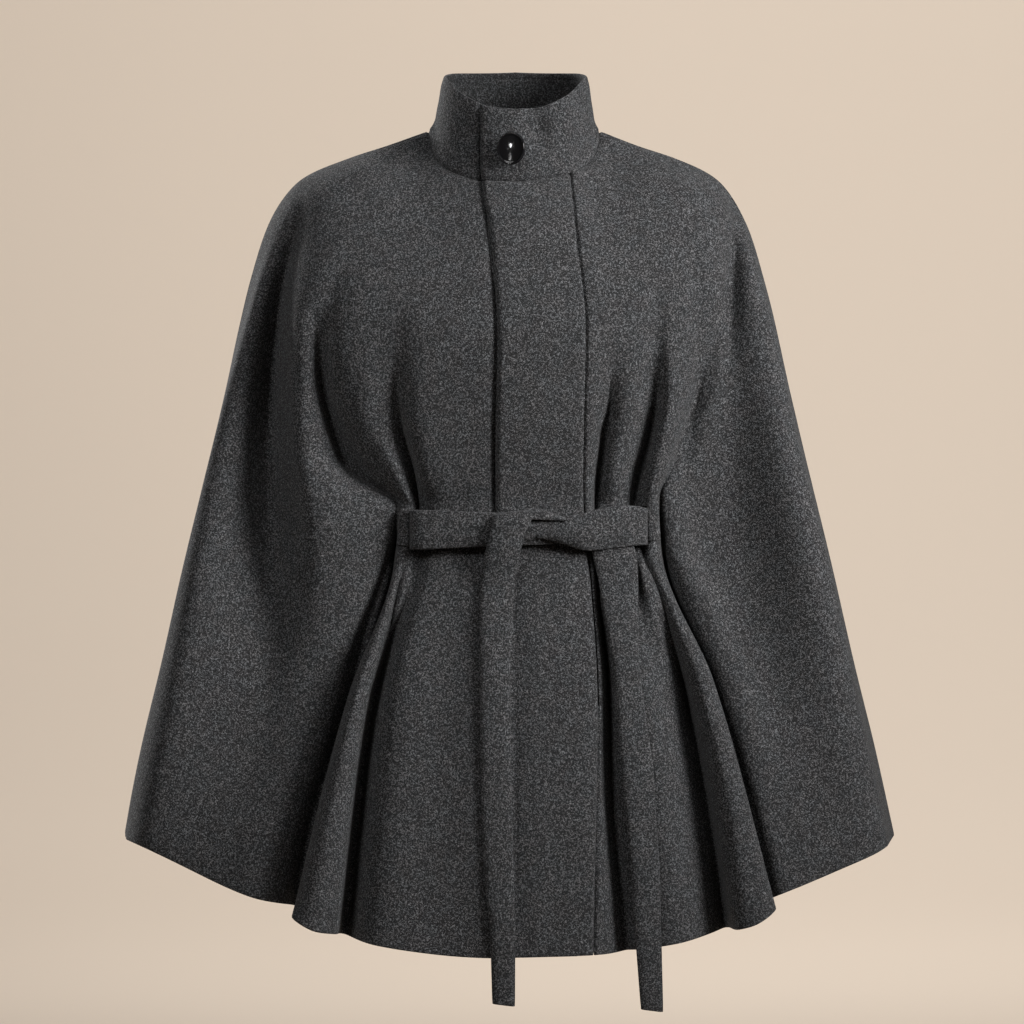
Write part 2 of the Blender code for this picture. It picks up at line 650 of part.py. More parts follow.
def make_belt():
    """The belt's waist, its two tails, resting on the fronts, and the loop over its knot."""
    make_band("belt_waist", [
        [(x, y, z + width / 2), (x, y, z), (x, y, z - width / 2)]
        for x, y, z, width in through(BELT_COURSE, 2)
    ])
    front = panels(("front_right", "front_left", "front_placket"))
    make_band("belt_tail_right", resting(TAIL_RIGHT, front))
    make_band("belt_tail_left", resting(TAIL_LEFT, front))
    arches = []
    for x, front_edge, top, back_edge in through(KNOT, 2):
        heights = (front_edge, (front_edge + 2 * top) / 3, top, (back_edge + 2 * top) / 3, back_edge)
        reaches = (-KNOT_REACH, -KNOT_REACH * KNOT_HAUNCH, 0.0, KNOT_REACH * KNOT_HAUNCH, KNOT_REACH)
        arches.append([(x, KNOT_DEPTH + reach, z) for z, reach in zip(heights, reaches)])
    make_band("belt_knot", arches)


def make_button():
    """A dished disc with a raised rim, on a shank; its profile is turned about the shank."""
    profile = [
        # distance from the shank's axis, distance in front of the rim's outer shoulder
        (0.0, -BUTTON_DISH),
        (BUTTON_RADIUS * 0.55, -BUTTON_DISH * 0.8),
        (BUTTON_RADIUS - BUTTON_RIM, -BUTTON_DISH * 0.3),
        (BUTTON_RADIUS - BUTTON_RIM * 0.5, RIM_RISE),
        (BUTTON_RADIUS - BUTTON_RIM * 0.15, 0.0),
        (BUTTON_RADIUS, -RIM_BEVEL),
        (BUTTON_RADIUS, -BUTTON_THICK * 0.6),
        (BUTTON_RADIUS * 0.9, -BUTTON_THICK),
        (SHANK_RADIUS, -BUTTON_THICK),
        (SHANK_RADIUS, -SHANK_LENGTH),
        (0.0, -SHANK_LENGTH),
    ]
    turn = math.radians(-BUTTON_TURN)
    cosine, sine = math.cos(turn), math.sin(turn)
    points = []
    for distance, front in profile:
        for k in range(BUTTON_SIDES if distance else 1):
            angle = 2 * math.pi * k / BUTTON_SIDES
            x, z = distance * math.cos(angle) * BUTTON_SQUEEZE, distance * math.sin(angle)
            points.append((x * cosine + front * sine, x * sine - front * cosine, z))
    last = len(points) - 1
    outermost = last - BUTTON_SIDES
    faces = []
    for k in range(BUTTON_SIDES):
        following = (k + 1) % BUTTON_SIDES
        faces.append((0, 1 + k, 1 + following))
        for ring_start in range(1, outermost, BUTTON_SIDES):
            inner, outer = ring_start, ring_start + BUTTON_SIDES
            faces.append((inner + k, outer + k, outer + following, inner + following))
        faces.append((outermost + following, outermost + k, last))
    body("button", np.array(points) + BUTTON_CENTRE, faces, "button")


def main():
    for old in list(bpy.data.objects):
        bpy.data.objects.remove(old, do_unlink=True)
    make_cape()
    make_belt()
    make_button()


main()
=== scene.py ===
"""Belted wool cape (poncho) with a stand collar, one button and a tied belt.

Metres, +Z up. The front faces -Y and the wearer's left is +X. The origin lies between the two
points where the shoulders meet the neck. Tables are in millimetres, but for the cuts, the stage
and the lights. A table's view_x or view_z is read from straight in front, in the plane of the
shoulders, and seen() carries it to its depth.
"""

import math

import bpy
import numpy as np
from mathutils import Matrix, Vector
from mathutils.bvhtree import BVHTree


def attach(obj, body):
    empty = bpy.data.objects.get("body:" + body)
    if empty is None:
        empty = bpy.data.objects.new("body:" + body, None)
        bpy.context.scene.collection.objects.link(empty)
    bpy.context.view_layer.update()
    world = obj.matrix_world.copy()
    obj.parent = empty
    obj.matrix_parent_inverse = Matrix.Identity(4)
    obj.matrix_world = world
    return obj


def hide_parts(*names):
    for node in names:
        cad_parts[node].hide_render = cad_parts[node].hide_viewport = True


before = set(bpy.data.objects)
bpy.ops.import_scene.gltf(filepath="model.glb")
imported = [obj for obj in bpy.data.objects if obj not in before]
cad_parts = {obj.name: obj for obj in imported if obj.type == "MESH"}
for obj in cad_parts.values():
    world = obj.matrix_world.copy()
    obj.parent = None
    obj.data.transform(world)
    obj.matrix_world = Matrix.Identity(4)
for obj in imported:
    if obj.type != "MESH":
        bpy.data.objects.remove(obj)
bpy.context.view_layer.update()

MM = 0.001
TINY = 1e-9  # what a length is at least, where something is divided by it
CLOTH = 2.5  # wall of the cape and belt
COLLAR_WALL = 3.0
WELT_WALL = 1.5
SEAM_OVERLAP = 0.1  # of the rounded edges of two pieces that are sewn together
WELT_GAP = 0.7  # under a slit's welt
LAP = 3.5  # from the under layer's middle to the top layer's, where the front overlaps
VIEW_DISTANCE = 4500.0
VIEW_HEIGHT = -382.0
SIDE_LIMIT = 0.999  # the furthest across its ring that a front line lies, short of the side seam
SETTLING = 6  # rounds in which a front point's depth and its place settle
BELT_TOP, BELT_LOW = 0.43, 0.49  # shares of the cloth between which the slits lie

# Rings of the cape from the neck seam (0) to the hem (1): half width, middle, depth in front and
# behind, heights in front, at the side and behind, and how late a ring climbs towards its side.
LEVELS = [
    # share, half, middle, front, back, z_front, z_side, z_back, climb
    (0.000, 85, 2, 68, 60, -57, -2, -3, 4),
    (0.050, 124, 0.5, 88, 74, -90, -16.5, -38, 3.6),
    (0.100, 162, 0, 101, 88, -126, -29, -75, 2.8),
    (0.165, 208, -3, 115, 99, -174, -51, -123, 2.3),
    (0.220, 235, -4.5, 121, 105, -216, -88, -165, 2.1),
    (0.300, 255, -5, 116, 109, -278, -148, -226, 2.2),
    (0.370, 268.5, -5, 106, 111, -330, -204, -280, 2.9),
    (0.430, 279, -4.5, 99, 113, -376, -252, -326, 4),
    (0.485, 289, -4, 100, 117, -419, -296, -368, 4),
    (0.560, 303, -4, 108, 125, -476, -355, -426, 3.2),
    (0.670, 323.5, -4, 123, 138, -560, -441, -510, 2.5),
    (0.780, 343, -3.5, 137, 154, -643, -528, -593, 2.2),
    (0.890, 364.5, -3, 150, 172, -727, -616, -676, 2),
    (1.000, 383, -2, 162, 192, -811, -704, -758, 1.9),
]

# Lines that run down the front, from the wearer's right side to the left: each fold's edge or
# core, each seam. view_x and the push out of the plain ring stand at these shares of the cloth.
STATIONS = (0.10, 0.22, 0.33, 0.40, BELT_TOP, BELT_LOW, 0.70, 1.00)
UNPUSHED = (0,) * len(STATIONS)
FRONT_LINES = [
    # name, angle at the neck, view_x at the stations, push at the stations, drop at the hem
    ("side_right", -90, None, UNPUSHED, 0),
    ("edge_right", -86, (-154, -229, -252, -264, -268, -277, -314, -366), UNPUSHED, -6),
    ("wing_dip_right", -81, (-141, -215, -239, -240, -240, -240, -256, -286),
     (0, -2, -5, -6, -6, -8, -9, -6), -6),
    ("wing_crest_right", -76, (-124, -193, -215, -205, -201, -191, -216, -256),
     (0, 0, 2, 10, 14, 10, -10, -6), -7),
    ("wing_roll_right", -73, (-114, -185, -202, -179, -121, -125, -174, -219),
     (0, 0, 1, -1, -7, -15, -23, -35), -10),
    ("swoop_right", -70, (-105, -175, -190, -165, -115, -117, -152, -194),
     (0, -2, -9, -16, -13, -32, -43, -55), -8),
    ("ridge_out_right", -67, (-96, -164, -176, -136, -109.5, -113, -163, -219),
     (0, 0, 2, -4, -9, -9, -2, 14), -3),
    ("ridge_top_right", -64, (-89, -152, -163, -125, -106.5, -108.5, -157, -199),
     (0, 1, 4, 0, -8, -7, 7, 22), 2),
    ("slit_out_right", -61, (-82, -138, -144, -115, -103.5, -104.5, -147, -178),
     (0, 0, 3, -2, -8, -8, -3, 4), 1),
    ("slit_in_right", -56, (-70, -114, -111, -97, -90, -93, -141, -170),
     (0, -1, -8, -13, -17, -17, -27, -27), 2),
    ("panel_right", -49, (-59, -92, -95, -85, -77, -80, -116, -137), (0, 1, 2, -1, -6, -6, 2, 3), 2),
    ("panel_mid_right", -36, (-42, -60, -55, -51, -51, -51, -64, -69), (0, 0, 0, 0, -3, -3, 1, 1), 1),
    ("free_edge", -19, (-21, -11, -13, -14, -15, -15, -15, -16), (0, 0, 0, 0, -1, -1, 0, 0), 0),
    ("placket_mid", 11, (25, 31, 31, 31, 31, 31, 33, 33), (0, 0, 0, 0, -1, -1, 0, 0), 0),
    ("placket_seam", 40, (65, 73.5, 71.5, 70.5, 71, 75, 85, 81), (0, 0, 0, 0, -2, -2, 0, 0), 3),
    ("fold_left", 47, (80, 103, 94, 87, 86, 83, 97, 116), (0, -1, -6, -8, -11, -11, -12, -15), 6),
    ("panel_left", 52, (88, 123, 115, 103, 102, 101, 135, 166), (0, 1, 2, 1, -5, -5, 3, 4), 8),
    ("slit_in_left", 57, (97, 145, 141, 126, 123, 124, 173, 214), (0, -1, -9, -13, -14, -14, -24, -28), 11),
    ("slit_out_left", 61, (104, 158, 156, 140, 136.5, 138, 183, 227), (0, 1, 4, 2, -1, -1, 0, 14), 12),
    ("ridge_top_left", 64, (110, 168, 165, 146, 140, 142, 191, 245), (0, 1, 4, 2, 0, 0, 9, 25), 12),
    ("ridge_out_left", 67, (116, 176, 176, 153, 143.5, 146, 201, 263), (0, 0, 2, 0, -2, -3, 3, 18), 6),
    ("swoop_left", 70, (122, 184, 186, 161, 147.5, 150, 187, 235), (0, -1, -4, -8, -9, -22, -34, -43), 2),
    ("wing_roll_left", 73, (128, 192, 198, 170, 153, 156, 206, 266), (0, 0, 0, -2, -3, -6, -9, -10), -4),
    ("wing_crest_left", 76, (134, 201, 208, 186, 175, 170, 226, 290), (0, 0, 2, 3, 3, 2, -6, -5), -4),
    ("wing_dip_left", 81, (143, 214, 221, 221, 222, 224, 257, 321), (0, -2, -5, -6, -6, -6, -6, -3), -3),
    ("edge_left", 86, (152, 222, 249, 260, 264, 273, 312, 364), UNPUSHED, 0),
    ("side_left", 90, None, UNPUSHED, 0),
]

# Soft folds of the back, which hangs free: where across (-1 to 1), half width there as a share,
# and how far each stands out at the shoulder blades, at the waist and at the hem.
BACK_FOLDS = [
    # across, spread, pushes at the last three of BACK_STATIONS
    (-0.78, 0.13, 1, 6, 20),
    (-0.55, 0.10, 0, -7, -20),
    (-0.30, 0.13, 1, 6, 21),
    (-0.04, 0.11, -1, -8, -19),
    (0.24, 0.14, 1, 7, 24),
    (0.50, 0.10, 0, -6, -18),
    (0.75, 0.12, 1, 5, 17),
]
BACK_STATIONS = (0.0, 0.22, 0.46, 1.0)
BACK_LINES = 31
YOKE_CLIMB = 3.0  # how late a ring climbs towards its side behind the neck

# Height of the neck seam as a share of the way from its front to its side, and of the rim.
NECK_CLIMB = [(0, 0.0), (20, 0.02), (40, 0.16), (60, 0.38), (75, 0.62), (90, 1.0)]
RIM_HEIGHT = [(0, 13.5), (20, 16), (30, 20.5), (50, 32), (72, 46.5), (90, 52), (120, 58), (180, 62)]
RIM_HALF, RIM_MIDDLE, RIM_FRONT, RIM_BACK = 70.5, 3.5, 62.0, 60.0
# How much of the neck seam's extra width the collar keeps, from the seam (0) to the rim (1).
COLLAR_FLARE = [(0.0, 1.0), (0.12, 0.68), (0.24, 0.52), (0.36, 0.45), (0.6, 0.29), (0.84, 0.16), (1.0, 0.0)]
COLLAR_TWIST = math.radians(7.0)  # by which the rim's front is turned towards the wearer's right
COLLAR_FRONT = 70.0  # its height at the free edge
CORNER_ROUND = 4.5  # radius of the collar's corner at the free edge
# Shares of the collar's height at which its rows lie; the facing's seam runs inside at one of them.
FACING_SEAM = 0.917
COLLAR_RISES = [1.0, 0.965, 0.934, FACING_SEAM, 0.9, 0.87] + [0.83 - 0.04 * k for k in range(21)]
FACING_PRESS, FACING_FADE = 0.8, 30.0  # how deep it lies, and where it fades out towards the sides
UNDER_END = 2 / 3  # how far the under layer reaches from the placket's middle to its seam

# Rows of the cape's mesh above the slits, along them and below them, and the widest cells.
CAPE_ROWS = (104, 15, 121)
FRONT_CELL = 4.4
BACK_CELL = 6.4
LINE_CELLS = {  # between a line and the next: finer where folds are tight, coarser where they are wide
    "ridge_out_right": 2.6, "ridge_top_right": 2.8, "slit_out_right": 2.8, "slit_in_right": 2.8,
    "panel_mid_right": 3.4, "placket_seam": 2.6, "fold_left": 2.8, "panel_left": 2.6, "slit_in_left": 2.8,
    "slit_out_left": 2.6, "ridge_top_left": 2.6, "ridge_out_left": 3.0, "free_edge": 3.4,
    "side_right": 6.0, "edge_right": 5.0, "edge_left": 6.0, "wing_dip_left": 5.0,
}

# Creases of the front, from straight in front: down each, its path, its half widths to its left
# and right, and its depth, which is below zero for a ridge.
FRONT_CREASES = {
    "wing_trough_right": [
        # view_x, view_z, half width to the left, to the right, depth
        (-206, -50, 12, 12, 0), (-213, -90, 14, 12, 8), (-222, -130, 16, 11, 16), (-231, -170, 18, 11, 20),
        (-236, -210, 19, 12, 22), (-239, -250, 22, 15, 24), (-241, -300, 25, 17, 24),
        (-241, -350, 28, 20, 22), (-239, -420, 30, 24, 20), (-240, -490, 32, 28, 16),
        (-244, -560, 34, 32, 12), (-252, -640, 36, 34, 8), (-258, -700, 36, 34, 2),
    ],
    "wing_crest_right": [
        (-221, -150, 8, 14, 0), (-221, -204, 5, 15, -4), (-220, -239, 4.5, 16, -6),
        (-217, -279, 4.5, 17, -7), (-215, -311, 5, 14, -7), (-210, -346, 5, 14, -7),
        (-205, -379, 6, 16, -6), (-201, -414, 8, 20, -4), (-197, -470, 12, 24, 0),
    ],
    "swoop_right": [
        (-197, -165, 8, 9, 0), (-195, -209, 7, 12, 8), (-191, -250, 7, 16, 12), (-182, -286, 8, 18, 14),
        (-173, -316, 11, 20, 14), (-169, -336, 12, 30, 15), (-158, -352, 13, 34, 14),
        (-134, -363, 14, 22, 10), (-104, -374, 6, 5, 4),
    ],
    "pleat_right": [
        (-117, -225, 6, 6, 0), (-115, -262, 8, 4.5, 7), (-109, -298, 8, 4, 12), (-103, -320, 7.5, 3.5, 14),
        (-98, -337.5, 6.5, 3, 14), (-94.5, -359, 5, 2.5, 12), (-93, -379, 4, 2.5, 8),
    ],
    "gap_right": [
        (-107, -390, 3, 3, 0), (-111, -405, 4, 3, 5), (-116, -415, 4, 3, 7), (-125, -433, 5, 3.5, 9),
        (-137, -467, 6, 4, 11), (-149, -503, 6, 4.5, 12), (-161, -550, 7, 5, 12), (-173, -597, 8, 5.5, 13),
        (-184, -633, 9, 6, 14), (-199, -683, 10, 7, 14), (-209, -727, 10, 8, 14), (-217, -775, 10, 8, 14),
    ],
    "valley_right": [
        (-99, -417, 3, 3, 0), (-103, -425, 3, 3, 2), (-108, -438, 3.5, 3, 5), (-114, -460, 4, 3.5, 9),
        (-122, -493, 4.5, 4.5, 13), (-129, -527, 5, 5.5, 13), (-135, -563, 5.5, 6, 13),
        (-142, -597, 6, 6.5, 13), (-147, -633, 7, 7.5, 13), (-150, -670, 8, 8, 13), (-155, -710, 9, 9, 12),
        (-159, -750, 9.5, 9.5, 12), (-163, -800, 10, 10, 12),
    ],
    "button_dent": [
        (20, 26, 10, 14, 3), (23, 12, 11, 14, 9), (24, -3, 11, 14, 11), (24, -18, 10, 13, 5),
        (23, -30, 8, 12, 0),
    ],
    "collar_bend": [
        (45, 31, 1.6, 1.8, 0.3), (46, 20, 1.6, 2.2, 1), (46.5, 0, 1.6, 2.2, 1), (46, -22, 1.6, 2.2, 0),
    ],
    "under_groove": [
        (-31, 22, 2.5, 2, 2), (-31, 5, 3, 1.6, 4), (-30.5, -50, 3, 1.8, 5), (-22.5, -100, 3, 2.2, 5.5),
        (-17.5, -150, 3.5, 2.5, 5.5), (-14.5, -200, 4, 2.5, 6), (-15, -250, 4.5, 2.5, 6),
        (-16.5, -300, 4, 2.5, 6), (-16.5, -350, 3.5, 2.2, 5.5), (-16, -384, 3, 2, 4),
    ],
    "hollow_placket": [
        (85, -450, 4, 3.5, 0), (86, -470, 4, 3.5, 6), (91, -497, 5, 4, 10), (96, -537, 6, 4.5, 13),
        (97, -580, 7, 5, 15), (98, -617, 9, 5.5, 16), (99, -650, 10, 6, 16), (101, -683, 11, 6.5, 16),
        (106, -733, 11, 7, 15), (112, -783, 11, 8, 14), (115, -825, 11, 8, 13),
    ],
    "valley_left": [
        (127, -415, 2.5, 2.5, 0), (130, -422, 3, 3, 2), (135, -435, 3, 3, 4), (140, -445, 3, 3.5, 6),
        (149, -467, 3, 4, 9), (157, -493, 3.5, 4.5, 11), (166, -523, 4, 5, 13), (174, -557, 5, 6, 14),
        (181, -590, 7, 7, 14), (190, -627, 8, 8, 14), (196, -660, 9, 9, 14), (203, -697, 9, 9, 14),
        (208, -733, 9, 9, 14), (211, -770, 9, 9, 14), (215, -815, 9, 9, 13),
    ],
    "gap_left": [
        (142, -420, 3, 4, 0), (149, -440, 3, 4, 3), (156, -455, 3, 4.5, 4), (167, -475, 3, 5, 4),
        (183, -505, 3, 5, 4), (197, -532, 3.5, 5, 4), (208, -572, 4, 6, 4), (220, -605, 4.5, 6, 4),
        (236, -665, 5, 7, 4), (247, -707, 5, 7, 4), (257, -750, 5, 7, 4), (264, -785, 5, 7, 3),
    ],
    "rib_left": [
        (124, -412, 6, 6, 0), (125, -424, 8, 8, -8), (129, -440, 9, 8, -13), (134, -460, 11, 9, -16),
        (140, -485, 13, 9, -18), (151, -520, 13, 9, -12), (164, -560, 12, 9, -4), (172, -600, 12, 9, 0),
    ],
    "rib_right": [
        (-92, -430, 5, 7, 0), (-99, -455, 5, 9, -5), (-106, -485, 5, 11, -7), (-113, -515, 6, 12, -6),
        (-121, -550, 7, 13, -3), (-128, -590, 8, 13, 0),
    ],
    "chest_right": [
        (-212, -105, 12, 40, 0), (-214, -150, 9, 48, -8), (-213, -190, 8, 46, -11), (-211, -225, 8, 36, -8),
        (-208, -260, 8, 25, -3), (-206, -290, 8, 20, 0),
    ],
    "tail_ridge": [
        (-28, -425, 24, 9, 0), (-28, -450, 32, 9, -6), (-28, -520, 38, 9, -9), (-28, -640, 42, 10, -10),
        (-26, -740, 38, 10, -7), (-22, -825, 34, 10, -3),
    ],
    "tail_hollow": [
        (2, -430, 6, 10, 0), (2, -455, 6, 13, 3.5), (2, -560, 6, 15, 4.5), (2, -680, 6, 15, 4.5),
        (4, -780, 6, 14, 4), (5, -825, 6, 12, 2),
    ],
    "between_right": [
        (-130, -300, 9, 9, 0), (-126, -320, 9, 9, -3), (-113, -345, 7, 7, -4), (-105, -366, 5, 5, -3),
        (-101, -377, 4, 4, -1),
    ],
    "pleat_left": [
        (100, -225, 6, 7, 0), (98, -256, 5, 7, 5), (95, -281, 4, 8, 9), (90, -298, 3.5, 8, 13),
        (87.5, -320, 3, 7, 14), (84.5, -344, 3, 6, 13), (82.5, -368, 2.5, 4, 11), (82, -382, 2.5, 3.5, 8),
    ],
    "fold_left": [
        (150, -232, 7, 7, 0), (147, -256, 7, 8, 4), (144, -276, 6, 8, 8), (139, -293, 5, 8, 13),
        (134, -317, 4.5, 7, 15), (127, -338, 4, 6, 14), (122, -357, 3, 5, 12), (120, -376, 2.5, 4, 8),
    ],
    "crest_left": [
        (160, -212, 12, 12, 0), (160, -238, 10, 14, -3), (159, -266, 8, 16, -5), (155, -300, 8, 16, -7),
        (148, -330, 7, 16, -7), (139, -360, 6, 14, -5), (136, -376, 5, 10, -1),
    ],
    "wing_trough_left": [
        (218, -50, 8, 8, 0), (222, -80, 9, 8, 7), (220, -110, 12, 11, 10), (216, -150, 14, 16, 12),
        (209, -190, 16, 22, 13), (198, -230, 17, 32, 15), (186, -270, 17, 40, 17), (179, -310, 15, 46, 18),
        (177, -350, 15, 48, 17), (185, -400, 17, 48, 15), (199, -440, 19, 48, 13), (219, -490, 24, 46, 10),
        (239, -540, 28, 44, 8), (259, -600, 30, 38, 4), (277, -650, 30, 30, 0),
    ],
    "wing_core_left": [
        (219, -55, 5, 5, 0), (222, -90, 6, 6, 5), (224, -120, 8, 8, 7), (222, -160, 10, 9, 7),
        (218, -205, 14, 11, 6), (211, -250, 16, 16, 3), (204, -300, 18, 20, 0),
    ],
    "wing_core_right": [
        (-209, -55, 5, 5, 0), (-215, -90, 6, 6, 4), (-225, -130, 8, 7, 7), (-234, -170, 10, 9, 9),
        (-240, -210, 12, 11, 9), (-244, -250, 14, 14, 9), (-246, -300, 17, 17, 8), (-245, -350, 20, 20, 6),
        (-242, -410, 24, 24, 4), (-240, -470, 26, 26, 0),
    ],
    "wing_edge_left": [
        (232, -80, 24, 6, 0), (238, -115, 34, 6, -16), (245, -150, 42, 6, -26), (256, -190, 46, 6, -33),
        (268, -250, 50, 6, -40), (278, -300, 52, 6, -46), (290, -350, 54, 6, -50), (303, -400, 56, 6, -54),
        (315, -450, 58, 6, -54), (326, -500, 58, 6, -50), (339, -560, 58, 6, -44), (352, -620, 56, 6, -38),
        (367, -690, 54, 6, -30), (378, -750, 50, 6, -24),
    ],
    "wing_edge_right": [
        (-239, -110, 4, 12, 0), (-251, -150, 4, 16, -12), (-265, -200, 4, 20, -20),
        (-279, -250, 4, 24, -28), (-292, -300, 4, 26, -34), (-305, -350, 4, 29, -38),
        (-323, -430, 4, 34, -42), (-337, -490, 4, 38, -42), (-356, -570, 4, 44, -41),
        (-374, -650, 4, 50, -38), (-382, -700, 4, 50, -34),
    ],
    "wing_crest_left": [
        (150, -405, 10, 10, 0), (181, -450, 10, 16, -5), (215, -517, 12, 18, -7), (235, -577, 14, 18, -7),
        (251, -633, 14, 16, -4), (262, -680, 14, 14, 0),
    ],
}

BACK_CREASES = {
    "blade_right": [
        (-74, -150, 12, 12, 0), (-80, -230, 14, 14, 6), (-86, -320, 15, 16, 9), (-94, -420, 16, 18, 7),
        (-104, -540, 18, 20, 3), (-112, -640, 20, 20, 0),
    ],
    "blade_left": [
        (96, -190, 14, 12, 0), (100, -260, 16, 14, 7), (106, -345, 18, 15, 10), (117, -450, 20, 18, 6),
        (130, -570, 20, 18, 0),
    ],
    "middle": [
        (8, -330, 12, 12, 0), (6, -400, 13, 15, 5), (4, -500, 16, 18, 9), (-2, -610, 18, 20, 10),
        (-6, -720, 20, 22, 8), (-8, -780, 20, 22, 7),
    ],
    "arm_right": [
        (-196, -95, 14, 12, 0), (-206, -150, 18, 13, 10), (-214, -220, 22, 15, 16),
        (-220, -310, 26, 18, 16), (-228, -420, 30, 22, 12), (-242, -540, 32, 26, 8),
        (-262, -660, 34, 30, 0),
    ],
    "arm_left": [
        (188, -80, 12, 14, 0), (200, -140, 13, 18, 9), (209, -205, 15, 22, 15), (214, -290, 18, 26, 17),
        (222, -390, 22, 30, 13), (236, -500, 26, 32, 9), (258, -620, 30, 34, 2),
    ],
    "pull_right": [
        (-150, -300, 8, 9, 0), (-142, -335, 8, 10, 5), (-127, -366, 9, 9, 7), (-104, -392, 8, 8, 4),
        (-84, -404, 7, 7, 0),
    ],
    "pull_left": [
        (160, -330, 9, 8, 0), (151, -358, 9, 9, 5), (135, -382, 8, 9, 6), (112, -402, 8, 8, 0),
    ],
    "hem_right": [
        (-172, -470, 10, 12, 0), (-182, -570, 12, 14, 7), (-196, -670, 14, 16, 11),
        (-206, -775, 16, 18, 10),
    ],
    "hem_left": [
        (58, -560, 12, 10, 0), (64, -640, 13, 12, 6), (70, -720, 15, 14, 10), (76, -785, 16, 16, 10),
    ],
    "hem_far_left": [
        (196, -520, 12, 12, 0), (208, -600, 14, 13, 6), (222, -690, 15, 15, 10), (232, -770, 16, 16, 9),
    ],
}

CREASE_STEPS = 4  # stretches of a crease's path between two rows of its table
CREASE_POINT = 1.6  # how pointed a crease is: 2 is round, 1 is sharp
CREASE_FADE = 5.0  # the creases fade out this near to the plane of the side seams

SLIT_COVERED = 0.45  # share of a slit's width, on the panel's side, that the cloth closes up to the belt
SLIT_ROWS = 2  # mesh rows by which it closes up above and below the belt
SEAM_REACH = 12.0  # how far from a seam the cloth's rows close up to make room for it
SEAM_CLOSER = 1.6  # how much closer the rows lie at the seam than away from it
SEAM_PRESS, SEAM_SOFT = 2.8, 1.6  # how deep a seam lies in the cloth, and half the width there
DENSE_LINES = (["free_edge"], ["placket_seam"])  # the columns close up towards these lines
DENSITY = 1.5
RIM_STEPS = 3  # points round a wall's edge, between its two sides

# The belt's course inside and outside the cape, from the knot past the wearer's right slit,
# round the back of the waist, out of the left slit and back to the knot.
WAIST_WIDTH = 36.0
AROUND_WAIST = [
    # x, y, z
    (-101, -76, -399.5), (-103.5, -64, -399.5), (-106, -48, -399.5), (-109, -28, -399),
    (-110, 0, -398), (-104, 30, -397), (-86, 62, -397), (-55, 84, -397),
    (-15, 95, -397), (40, 95, -397), (84, 84, -397), (116, 62, -397),
    (134, 30, -397), (140, 0, -397), (139.5, -28, -397),
]
BELT_COURSE = [
    # x, y, z, width, how far its middle bulges out
    (44, -109.5, -399.5, 25, 0),
    (15, -110.5, -399.2, 28, 0.5),
    (-20, -109.5, -399, 30.5, 1),
    (-50, -106.5, -399.3, 33, 1.2),
    (-72, -103, -399.4, 35, 1.2),
    (-85, -100.5, -399.5, 36.5, 1.2),
    (-93.5, -97.5, -399.5, 36.5, 1),
    (-98, -92.5, -399.5, 36.5, 0.5),
    (-99.6, -85, -399.5, 36, 0),
    *((x, y, z, WAIST_WIDTH, 0) for x, y, z in AROUND_WAIST),
    (137, -48, -397, 35, 0),
    (134.5, -64, -396.8, 34, 0),
    (133.5, -77, -396.6, 33.5, 0),
    (132.4, -87, -396.5, 33.5, 0),
    (129.2, -94, -396, 34.5, 0.5),
    (122.5, -98.5, -395.5, 36, 1),
    (112, -102, -395.7, 37.8, 1.5),
    (99, -105.5, -396.8, 38.4, 2),
    (82, -109, -399.5, 37.5, 3),
    (68, -111.5, -401.5, 33, 4),
    (56, -112.5, -400.5, 27, 5),
    (46, -113.4, -402.5, 17.5, 4),
    (36, -114.4, -404, 9.5, 2.4),
    (26, -114.2, -405.5, 2.5, 0),
]

# The tails, and the layer behind the knot: each row is a stretch across the band, given by its two
# ends. Where y is None the tail rests on what is behind it.
TAIL_RIGHT = [
    # view_x and view_z of one end, of the other end, y
    (-16, -396, 18, -391, -104.7),
    (-16, -391, 19, -384, -104.9),
    (-16.2, -387, 20, -380.6, -107.2),
    (-16.4, -385.2, 21, -379.7, -112.2),
    (-17, -387.6, 20.5, -382.6, -117.2),
    (-18.5, -394, 18, -390.5, -119.8),
    (-20.5, -402, 13, -400, -120.2),
    (-24, -416, 10, -411, -119.6),
    (-27, -429, 6.5, -426, -117.5),
    (-30, -452, 2, -451, -114.5),
    (-31, -490, -1, -490, None),
    (-31, -534, -3, -534, None),
    (-30.5, -610, -2.5, -610, None),
    (-29, -690, -1, -690, None),
    (-25, -760, 0.8, -760, None),
    (-21, -798, 2, -798, None),
    (-18.5, -873, 1.8, -875.5, None),
]
TAIL_LEFT = [
    (79, -411, 119, -409, None),
    (83, -430, 124, -430, None),
    (88, -452, 125, -452, None),
    (96, -497, 125, -497, None),
    (103, -537, 126, -534, None),
    (107, -590, 133, -590, None),
    (111, -638, 140, -638, None),
    (116, -695, 143, -690, None),
    (121, -745, 146.5, -740, None),
    (124, -800, 148, -800, None),
    (130, -878.5, 150, -881, None),
]
KNOT_BEHIND = [
    (54, -388.8, 53, -390.8, -113.6),
    (46, -389, 43.5, -395.5, -113.6),
    (36, -389.6, 32.5, -404.5, -113.4),
    (24, -390.6, 22, -410.5, -113.2),
    (8, -391, 8, -411.5, -112.2),
]
TAIL_TILT = 1.5  # the most by which one side of a tail lies further back than the other
# By how much a tail's left side stands forward, or its right side where that is below zero.
TAIL_LEANS = {"belt_tail_right": -1.0, "belt_tail_left": 5.0}
EDGE_ROLL, ROLL_POWER = 2.4, 4  # by which a tail's edges roll back, and how near its edges it does
TAIL_CLEAR = 1.9  # between a tail and the panel that it rests on
TAIL_SPAN = 16.0  # how far up and down from a row the panel is felt for
FEELERS = 9  # places across a tail at which it is felt for
IN_FRONT = -300.0  # a depth ahead of the whole garment
BAND_STEPS = 10  # mesh rows to a row of a band's table
BAND_COLUMNS = 10

